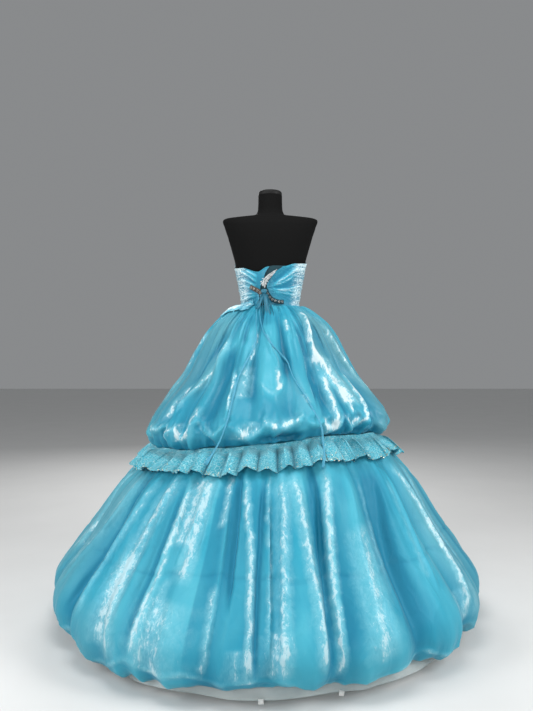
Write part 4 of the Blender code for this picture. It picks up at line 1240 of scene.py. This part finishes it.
bodiceFolds = [
    # right of the lacing
    (92, 1.190, 142, 1.262, 0.004, 0.0060, 0.0050), (91, 1.184, 132, 1.228, 0.006, 0.0050, 0.0045),
    (93, 1.196, 118, 1.252, 0.002, 0.0045, -0.0040), (92, 1.180, 128, 1.206, 0.010, 0.0060, -0.0050),
    (90, 1.174, 160, 1.196, 0.009, 0.0050, 0.0045), (96, 1.170, 158, 1.172, 0.004, 0.0050, 0.0040),
    (92, 1.164, 150, 1.152, 0.002, 0.0045, 0.0036), (110, 1.176, 164, 1.214, 0.002, 0.0040, -0.0030),
    (120, 1.240, 166, 1.250, 0.000, 0.0045, 0.0040), (128, 1.222, 170, 1.226, 0.002, 0.0040, 0.0036),
    (140, 1.158, 176, 1.162, 0.000, 0.0032, 0.0036), (142, 1.146, 178, 1.150, 0.000, 0.0030, 0.0034),
    (138, 1.134, 176, 1.136, 0.000, 0.0030, 0.0034), (146, 1.186, 178, 1.182, 0.000, 0.0030, 0.0034),
    # left of the lacing
    (69, 1.196, 28, 1.246, 0.006, 0.0055, 0.0050), (68, 1.188, 34, 1.224, 0.008, 0.0042, -0.0042),
    (68, 1.182, 22, 1.212, 0.007, 0.0055, 0.0045), (67, 1.172, 18, 1.186, 0.005, 0.0050, 0.0040),
    (67, 1.164, 24, 1.164, 0.003, 0.0040, -0.0036), (66, 1.158, 14, 1.150, 0.003, 0.0050, 0.0045),
    (66, 1.148, 26, 1.134, 0.001, 0.0045, 0.0040), (60, 1.140, 30, 1.122, 0.000, 0.0035, -0.0030),
    (70, 1.214, 48, 1.244, 0.002, 0.0050, 0.0045), (40, 1.200, 8, 1.204, 0.000, 0.0034, -0.0030),
    (30, 1.176, 4, 1.172, 0.000, 0.0030, 0.0034), (28, 1.142, 4, 1.140, 0.000, 0.0030, 0.0034),
    # round the sides and front
    (196, 1.150, 262, 1.190, 0.006, 0.0060, 0.0040), (344, 1.150, 282, 1.190, -0.006, 0.0060, 0.0040),
    (190, 1.190, 256, 1.232, 0.008, 0.0060, 0.0045), (350, 1.188, 288, 1.230, -0.008, 0.0060, 0.0045),
    (186, 1.232, 250, 1.276, 0.008, 0.0060, 0.0040), (352, 1.232, 292, 1.276, -0.008, 0.0060, 0.0040),
    (200, 1.270, 262, 1.296, 0.006, 0.0050, -0.0034), (342, 1.262, 280, 1.296, -0.006, 0.0050, -0.0034),
    (206, 1.170, 334, 1.166, -0.006, 0.0050, -0.0036), (212, 1.132, 330, 1.136, 0.002, 0.0050, 0.0036),
]


def gapEdge(height, column):
    row = np.interp(height, lacingGap[:, 0], np.arange(len(lacingGap)))
    low = np.clip(np.floor(row).astype(int), 0, len(lacingGap) - 2)
    share = ease(row - low)
    return lacingGap[low, column] * (1 - share) + lacingGap[low + 1, column] * share


fanFine = wander(71, 210)
fanSmall = wander(72, 420)
sidePleats = wander(73, 300)


def bodiceOut(angle, height):
    # how far the ruching stands out from the form
    turn = turnFrom(angle, bodiceSettings["lacing"])
    away = np.abs(turn) / 100
    fan = (height - bodiceSettings["ruche"]) / (0.35 + away)
    side = np.sign(turn)
    fine = fanFine(fan * 1400 + 90 * side + 14 * np.sin(np.radians(3 * angle)))
    small = fanSmall(fan * 1200 + 40 * side + 9 * np.sin(np.radians(5 * angle + 60)))
    level = sidePleats(height * 2600 + 8 * np.sin(np.radians(6 * angle)))
    aside = np.abs(np.cos(np.radians(angle))) ** 3
    soft = ease(away * 5)
    out = 0.0050 + soft * (0.0013 * (1 - 2 * np.abs(fine)) + 0.0006 * small + 0.0011 * aside * level)
    out = out + strokeField(bodiceFolds, angle, height, 0.118)
    return np.clip(out, 0.0042, 0.0125)


def bodicePoints(start, end, columns):
    across, up = steps(columns, bodiceSettings["tall"])
    middle = waistTop + (1.27 - waistTop) * up
    low = gapEdge(middle, 2) if start is None else start
    high = gapEdge(middle, 1) if end is None else end
    angle = low + (high - low) * across
    height = waistTop + 0.0003 + (aroundTable(topEdge, angle) - waistTop) * up
    out = bodiceOut(angle, height) + 0.0012 * np.exp(-((1 - up) / 0.025) ** 2)
    # painted highlight: the bodice's sides and its raised ruching are paler
    gleam = 1.15 * ease((np.abs(np.cos(np.radians(angle))) - 0.50) / 0.36)
    gleam = gleam - 0.75 * ease(-sidePleats(height * 1500 + 12 * np.sin(np.radians(4 * angle))) / 0.5)
    gleam = np.clip(gleam, 0, 1.2) + 0.55 * ease((out - 0.0078) / 0.0026)
    # painted shade in the recesses and in the dark breaks between the side pleats
    breaks = sidePleats(height * 1900 + 16 * np.sin(np.radians(3 * angle)))
    aside = ease((np.abs(np.cos(np.radians(angle))) - 0.55) / 0.30)
    hollow = np.clip((0.0068 - out) / 0.0022, 0, 1) + aside * ease((breaks - 0.25) / 0.4)
    gleam = gleam * (1 - 0.8 * aside * ease((breaks - 0.25) / 0.4))
    hollow = np.clip(hollow, 0, 1)
    return formPoint(angle, height, out), {"gleam": gleam, "hollow": hollow}


def makeBodice():
    for node, (start, end, columns) in bodicePanels.items():
        points, marks = bodicePoints(start, end, columns)
        item = wrapGrid(node + "_cloth", points, arcUv(points), looks["bodice"],
                        bodiceSettings["thick"], marks=marks)
        ready(item, "organza", node)
        flat, area = cutSize(points, 1.25)


makeBodice()
print("bodice made")

# ---- placket behind the lacing ----

modestySettings = {"angles": (62, 114), "bottom": 1.120, "out": 0.0018, "thick": 0.0010,
                   "top": [(62, 1.230), (74, 1.236), (86, 1.255), (94, 1.259), (180, 1.259), (300, 1.230)]}


def makeModesty():
    across, up = steps(60, 40)
    low, high = modestySettings["angles"]
    angle = low + (high - low) * across
    bottom = modestySettings["bottom"]
    height = bottom + (aroundTable(modestySettings["top"], angle) - bottom) * up
    ripple = 0.0004 * np.sin(np.radians(angle * 40) + 3 * up)
    points = formPoint(angle, height, modestySettings["out"] + ripple)
    item = wrapGrid("placket_cloth", points, arcUv(points), looks["lining"], modestySettings["thick"])
    ready(item, "teal_lining", "modesty_panel")
    flat = cutSize(points, 1.0)[0]


makeModesty()

# ---- lacing tapes with eyelets ----

tapeSettings = {
    "width": 0.016, "flatWidth": 0.0145, "cup": 0.0012, "twist": 0.15, "standOff": 0.012,
    "thick": 0.0012, "eyeletStep": 0.0125, "eyeletRadius": 0.0029,
    "left": [(56, 1.182), (65, 1.173), (73, 1.163), (77, 1.149), (78, 1.128)],
    "right": [(84, 1.172), (87, 1.153), (92, 1.136), (100, 1.128), (112, 1.126)],
}


def outwardFrom(points):
    flat = points - np.array([formX, 0, 0])
    flat[..., 2] = 0
    return unit(flat)


def ribbonPoints(path, across, outward, width, cup, columns):
    # a narrow cupped band along a path
    spread = np.linspace(-1, 1, columns)
    return (path[:, None] + across[:, None] * (spread * width / 2)[None, :, None]
            + outward[:, None] * (cup * np.cos(np.pi * spread))[None, :, None])


def makeTape(side, look, slot):
    path = smoothRoute(onForm(tapeSettings[side], tapeSettings["standOff"]), 0.003)
    outward = outwardFrom(path)
    across = unit(np.cross(outward, unit(np.gradient(path, axis=0))))
    twist = tapeSettings["twist"] * np.sin(5 * np.linspace(0, 1, len(path)))[:, None]
    points = ribbonPoints(path, across + outward * twist, outward, tapeSettings["width"],
                          tapeSettings["cup"], 9)
    item = wrapGrid(f"tape_{side}", points[:, ::-1], arcUv(points), look, tapeSettings["thick"])
    ready(item, slot, f"eyelet_tape_{side}")
    length = float(walkedAlong(path)[-1])
    makeEyelets(side, path, unit(outward - across * twist), length)


def makeEyelets(side, path, facing, length):
    count = int(length / tapeSettings["eyeletStep"])
    marks = [int(round((number + 0.5) * (len(path) - 1) / count)) for number in range(count)]
    spots = [(path[mark] + facing[mark] * tapeSettings["thick"], facing[mark], 1) for mark in marks]
    radius = tapeSettings["eyeletRadius"]
    ring = added(f"eyelet_rings_{side}", bpy.ops.mesh.primitive_torus_add, major_segments=20,
                 minor_segments=8, minor_radius=0.0009, major_radius=radius)
    hole = added(f"eyelet_holes_{side}", bpy.ops.mesh.primitive_cylinder_add, vertices=20, depth=0.0008,
                 radius=radius * 0.85)
    for item, look, slot in ((ring, "eyelet", "silver_cord"), (hole, "form", "teal_lining")):
        placeCopies(item, spots)
        dress(item, looks[look], 40)
        ready(item, slot)
    return [ring, hole]


makeTape("left", looks["brownTape"], "brown_tape")
makeTape("right", looks["lining"], "teal_lining")

# ---- lacing, knot and bow loops ----

lacingSettings = {
    "route": [(95, 1.234), (90, 1.220), (85, 1.206), (82, 1.194), (81, 1.182)],
    "standOff": 0.0145, "strands": 6, "spread": 0.0042, "radius": 0.0013,
    # single strands that cross the gap: start angle and height, end angle and height
    "crossings": [(79, 1.212, 88, 1.198), (89, 1.212, 77, 1.200), (76, 1.200, 86, 1.190),
                  (87, 1.204, 76, 1.190), (98, 1.244, 90, 1.222), (82, 1.210, 95, 1.240)],
}


def makeLacing():
    strands = []
    middle = onForm(lacingSettings["route"], lacingSettings["standOff"])
    for number in range(lacingSettings["strands"]):
        share = number / (lacingSettings["strands"] - 1) - 0.5
        route = smoothRoute(middle, 0.004)
        walked = np.linspace(0, 1, len(route))
        fan = lacingSettings["spread"] * (0.5 + 1.3 * walked) * share * 2
        weave = 0.0016 * np.sin(9 * walked + 2.1 * number)
        route[:, 0] += fan * 0.75
        route[:, 2] += fan * 0.6 + weave
        route[:, 1] += 0.0022 * np.cos(7 * walked + 1.7 * number)
        strands.append(route)
    for *start, endAngle, endHeight in lacingSettings["crossings"]:
        share = np.linspace(0, 1, 7)
        spots = np.linspace(start, (endAngle, endHeight), 7)
        strands.append(smoothRoute(onForm(spots, 0.0085 + 0.0045 * np.sin(np.pi * share)), 0.004))
    made = []
    for number, route in enumerate(strands):
        made.append(wrapTube(f"lacing_strand_{number + 1}", route, lacingSettings["radius"],
                             lacingSettings["radius"] * 0.7, outwardFrom(route), looks["cord"], 8,
                             0.9 * np.sin(np.linspace(0, 9, len(route)) + number)))
    bpy.ops.object.select_all(action="DESELECT")
    for item in made:
        item.select_set(True)
    bpy.context.view_layer.objects.active = made[0]
    bpy.ops.object.join()
    made[0].name = "lacing_strands"
    dress(made[0], looks["cord"], 60)
    return ready(made[0], "silver_cord", "lacing_bundle")


makeLacing()

bowSettings = {"place": (82, 1.163), "standOff": 0.0200, "knot": (0.0105, 0.0065, 0.0095),
               "ribbon": 0.0085, "cup": 0.0010, "thick": 0.0007}
knotPlace = onForm([bowSettings["place"]], bowSettings["standOff"])[0]


def makeKnot():
    item = added("knot", bpy.ops.mesh.primitive_uv_sphere_add, segments=40, ring_count=24, radius=1)
    flat = pointsOf(item)
    turn = np.arctan2(flat[:, 2], flat[:, 0])
    crease = 0.10 * np.sin(3 * turn + 4 * flat[:, 1]) + 0.08 * np.sin(9 * flat[:, 0] + 2 * flat[:, 2])
    movePoints(item, flat * (1 + crease)[:, None] * np.array(bowSettings["knot"]) + knotPlace)
    dress(item, looks["ribbon"], 70)
    return ready(item, "ribbon", "bow_knot")


makeKnot()

# each loop: its place beside the knot, lean, drop, half width, reach and turn of the ribbon
bowLoops = {
    "left": (0.002, -0.003, 0.092, 0.0075, 0.050, 0.5),
    "right": (-0.008, -0.022, 0.086, 0.0100, 0.050, -0.6),
    "short": (0.006, 0.022, 0.058, 0.0070, 0.036, 0.7),
}


def makeLoop(name, side, lean, drop, wide, reach, turn, *replaced):
    circle = 2 * np.pi * np.linspace(0.03, 0.97, 56)  # the loop's two ends meet under the knot
    down = 0.5 - 0.5 * np.cos(circle)
    sideways = -np.sin(circle) * (0.35 + 0.65 * down) * wide
    centre = knotPlace + np.stack([side + lean * down + sideways, 0.003 + reach * down ** 1.4,
                                   -0.008 - drop * down], axis=1)
    tilt = turn + 0.8 * np.sin(circle)
    breadth = np.stack([np.sin(tilt), np.cos(tilt), 0 * tilt], axis=1)
    normal = unit(np.cross(np.gradient(centre, axis=0), breadth))
    points = ribbonPoints(centre, breadth, normal, bowSettings["ribbon"], bowSettings["cup"], 7)
    item = wrapGrid(f"bow_ribbon_{name}", points, arcUv(points), looks["ribbon"], bowSettings["thick"])
    ready(item, "ribbon", *replaced)


for name, sizes in bowLoops.items():
    makeLoop(name, *sizes, *([f"bow_loop_{name}"] if name != "short" else []))
print("lacing and bow made")

# ---- the ties' free ends ----

tieSettings = {
    "width": 0.009, "rolled": 0.0028, "flare": 0.0064, "flareLength": 0.055, "thick": 0.0011,
    "lift": 0.006, "waist": 0.0190,
    # angle and height down the bodice and the overskirt, then angle, height and radius past its edge
    "left": ([(72.5, 1.152), (72.5, 1.132)],
             [(73.5, 1.094), (76.0, 1.060), (78.0, 1.010), (77.5, 0.960), (74.0, 0.900),
              (71.5, 0.850), (72.0, 0.775), (72.5, 0.715)],
             [(71.5, 0.670, 0.470), (70.0, 0.630, 0.492), (68.5, 0.598, 0.511)]),
    "right": ([(76.5, 1.152), (76.5, 1.132)],
              [(77.0, 1.094), (80.0, 1.055), (85.5, 1.010), (92.0, 0.960), (99.5, 0.922),
               (102.0, 0.875), (104.7, 0.830), (108.3, 0.768)],
              [(109.8, 0.715, 0.467), (110.3, 0.672, 0.480), (110.0, 0.630, 0.504),
               (109.0, 0.590, 0.518)]),
}


def skirtTop(angle, height):
    # the overskirt's finished surface at an angle and a height above its puffed edge
    foldsEach = len(overskirtFolds) // goreCount
    phase = float(foldPhase(overskirtFolds, np.array(angle % 360.0))) + 0.5
    points = overskirtPoints[int(phase // foldsEach) % goreCount]
    spot = (phase % foldsEach) / foldsEach * overskirtSettings["broad"]
    low = min(int(spot), overskirtSettings["broad"] - 1)
    column = points[:, low] * (1 - spot + low) + points[:, low + 1] * (spot - low)
    column = column[int(np.argmax(np.hypot(column[:, 0], column[:, 1]))):]
    rise = np.maximum.accumulate(column[:, 2])
    return np.array([np.interp(height, rise, column[:, 0]), np.interp(height, rise, column[:, 1]),
                     height])


def tieRoute(bodice, over, hanging):
    spots = betweenRows(np.array(over), np.linspace(0, len(over) - 1, 60))
    surface = np.array([skirtTop(*spot) for spot in spots])
    centre = np.stack([centreX(surface[:, 2]), 0 * surface[:, 2], surface[:, 2]], axis=1)
    reach = np.linalg.norm(surface - centre, axis=1)
    for _ in range(3):  # the tie bridges the small creases
        wide = np.concatenate([reach[:1], reach, reach[-1:]])
        reach = np.maximum(reach, (wide[:-2] + wide[2:]) / 2)
    reach = np.convolve(np.pad(reach, 3, mode="edge"), np.ones(7) / 7, mode="valid")
    middle = centre + unit(surface - centre) * (reach + tieSettings["lift"])[:, None]
    angle, height, radius = np.array(hanging).T
    return smoothRoute(np.concatenate([onForm(bodice, tieSettings["waist"]), middle[::4],
                                       place(angle, radius, height)]), 0.008)


def makeTie(side):
    route = tieRoute(*tieSettings[side])
    walked = walkedAlong(route)
    length = float(walked[-1])
    flare = ease((walked - length + tieSettings["flareLength"]) / tieSettings["flareLength"])
    wide = tieSettings["rolled"] * (1 + 0.18 * np.sin(60 * walked)) * (1 - flare)
    wide = wide + tieSettings["flare"] * flare
    twist = 0.5 * np.sin(11 * walked) + 0.9 * flare * (-1 if side == "left" else 1)
    item = wrapTube(f"tie_{side}", route, wide, tieSettings["thick"], outwardFrom(route),
                    looks["tie"], 14, twist)
    ready(item, "ribbon", f"tail_{side}")


makeTie("left")
makeTie("right")
print("ties made")

# ---- bunched cloth over the waist seam ----

rucheSettings = {"angles": (8, 60), "bottom": (1.074, 1.098), "top": (1.112, 1.134), "broad": 110,
                 "tall": 30, "out": 0.0130, "skirtOut": 0.0060, "crumple": 0.0032, "thick": 0.0008}
rucheNoise = lattice(91, 150, 5)
rucheFine = lattice(92, 420, 10)


def makeRuche():
    across, up = steps(rucheSettings["broad"], rucheSettings["tall"])
    low, high = rucheSettings["angles"]
    angle = low + (high - low) * across
    bottom = rucheSettings["bottom"][0] * (1 - across) + rucheSettings["bottom"][1] * across
    top = rucheSettings["top"][0] * (1 - across) + rucheSettings["top"][1] * across
    bottom = bottom + 0.005 * wander(93, 40)(angle * 3)
    top = top + 0.004 * wander(94, 44)(angle * 3)
    height = bottom + (top - bottom) * up
    bulge = np.sin(np.pi * up) * np.sin(np.pi * np.clip(across, 0.02, 0.98)) ** 0.5
    crumple = rucheSettings["crumple"] * (rucheNoise(angle * 2, up) + 0.5 * rucheFine(angle * 2, up))
    crumple = crumple * (0.4 + 0.6 * bulge) + 0.004 * bulge
    body = formPoint(angle, height, rucheSettings["out"] + crumple)
    skirt = np.array([skirtTop(*spot) for spot in zip(angle.ravel(), height.ravel())])
    skirt = skirt.reshape(body.shape)
    skirt = skirt + outwardFrom(skirt) * (rucheSettings["skirtOut"] + crumple)[..., None]
    skirt[..., 2] += 0.004
    over = ease((waistTop + 0.014 - height) / 0.016)[..., None]
    points = body * (1 - over) + skirt * over
    # painted highlight on the raised crumples and painted shade in the sunken ones
    gleam = np.clip(0.15 + crumple / 0.006, 0, 1.0)
    hollow = np.clip(-crumple / 0.003, 0, 1)
    item = wrapGrid("waist_bunch", points, arcUv(points), looks["bodice"], rucheSettings["thick"],
                    marks={"gleam": gleam, "hollow": hollow})
    ready(item, "organza", "waist_ruche")
    flat, area = cutSize(points, 0.95)


makeRuche()

# ---- white tabs on the hem ----

# they move out with the sheer layer's flare
tabSettings = {"thick": 0.0016, "tall": 1.15, "out": underSettings["flare"] + 0.004, "curl": 0.0022}


def makeTab(side, lean):
    low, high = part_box(f"hem_tab_{side}")
    middle = (low + high) / 2
    item = added(f"tab_{side}", bpy.ops.mesh.primitive_cube_add, size=1, location=middle)
    item.scale = (high.x - low.x, tabSettings["thick"], (high.z - low.z) * tabSettings["tall"])
    item.rotation_euler = (0.10, lean, 0)
    bpy.ops.object.transform_apply(location=True, rotation=True, scale=True)
    bpy.ops.object.mode_set(mode="EDIT")
    bpy.ops.mesh.select_all(action="SELECT")
    bpy.ops.mesh.subdivide(number_cuts=5)
    bpy.ops.object.mode_set(mode="OBJECT")
    for vertex in item.data.vertices:
        vertex.co.y += tabSettings["out"] + tabSettings["curl"] * math.cos(260 * (vertex.co.z - middle.z))
    dress(item, looks["whiteTape"], 40)
    ready(item, "white_tape", f"hem_tab_{side}")


makeTab("left", 0.05)
makeTab("right", -0.18)
print("trim made")

sizes = {"cad": [list(corner) for corner in cadBounds], "visual": [list(corner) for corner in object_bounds()]}
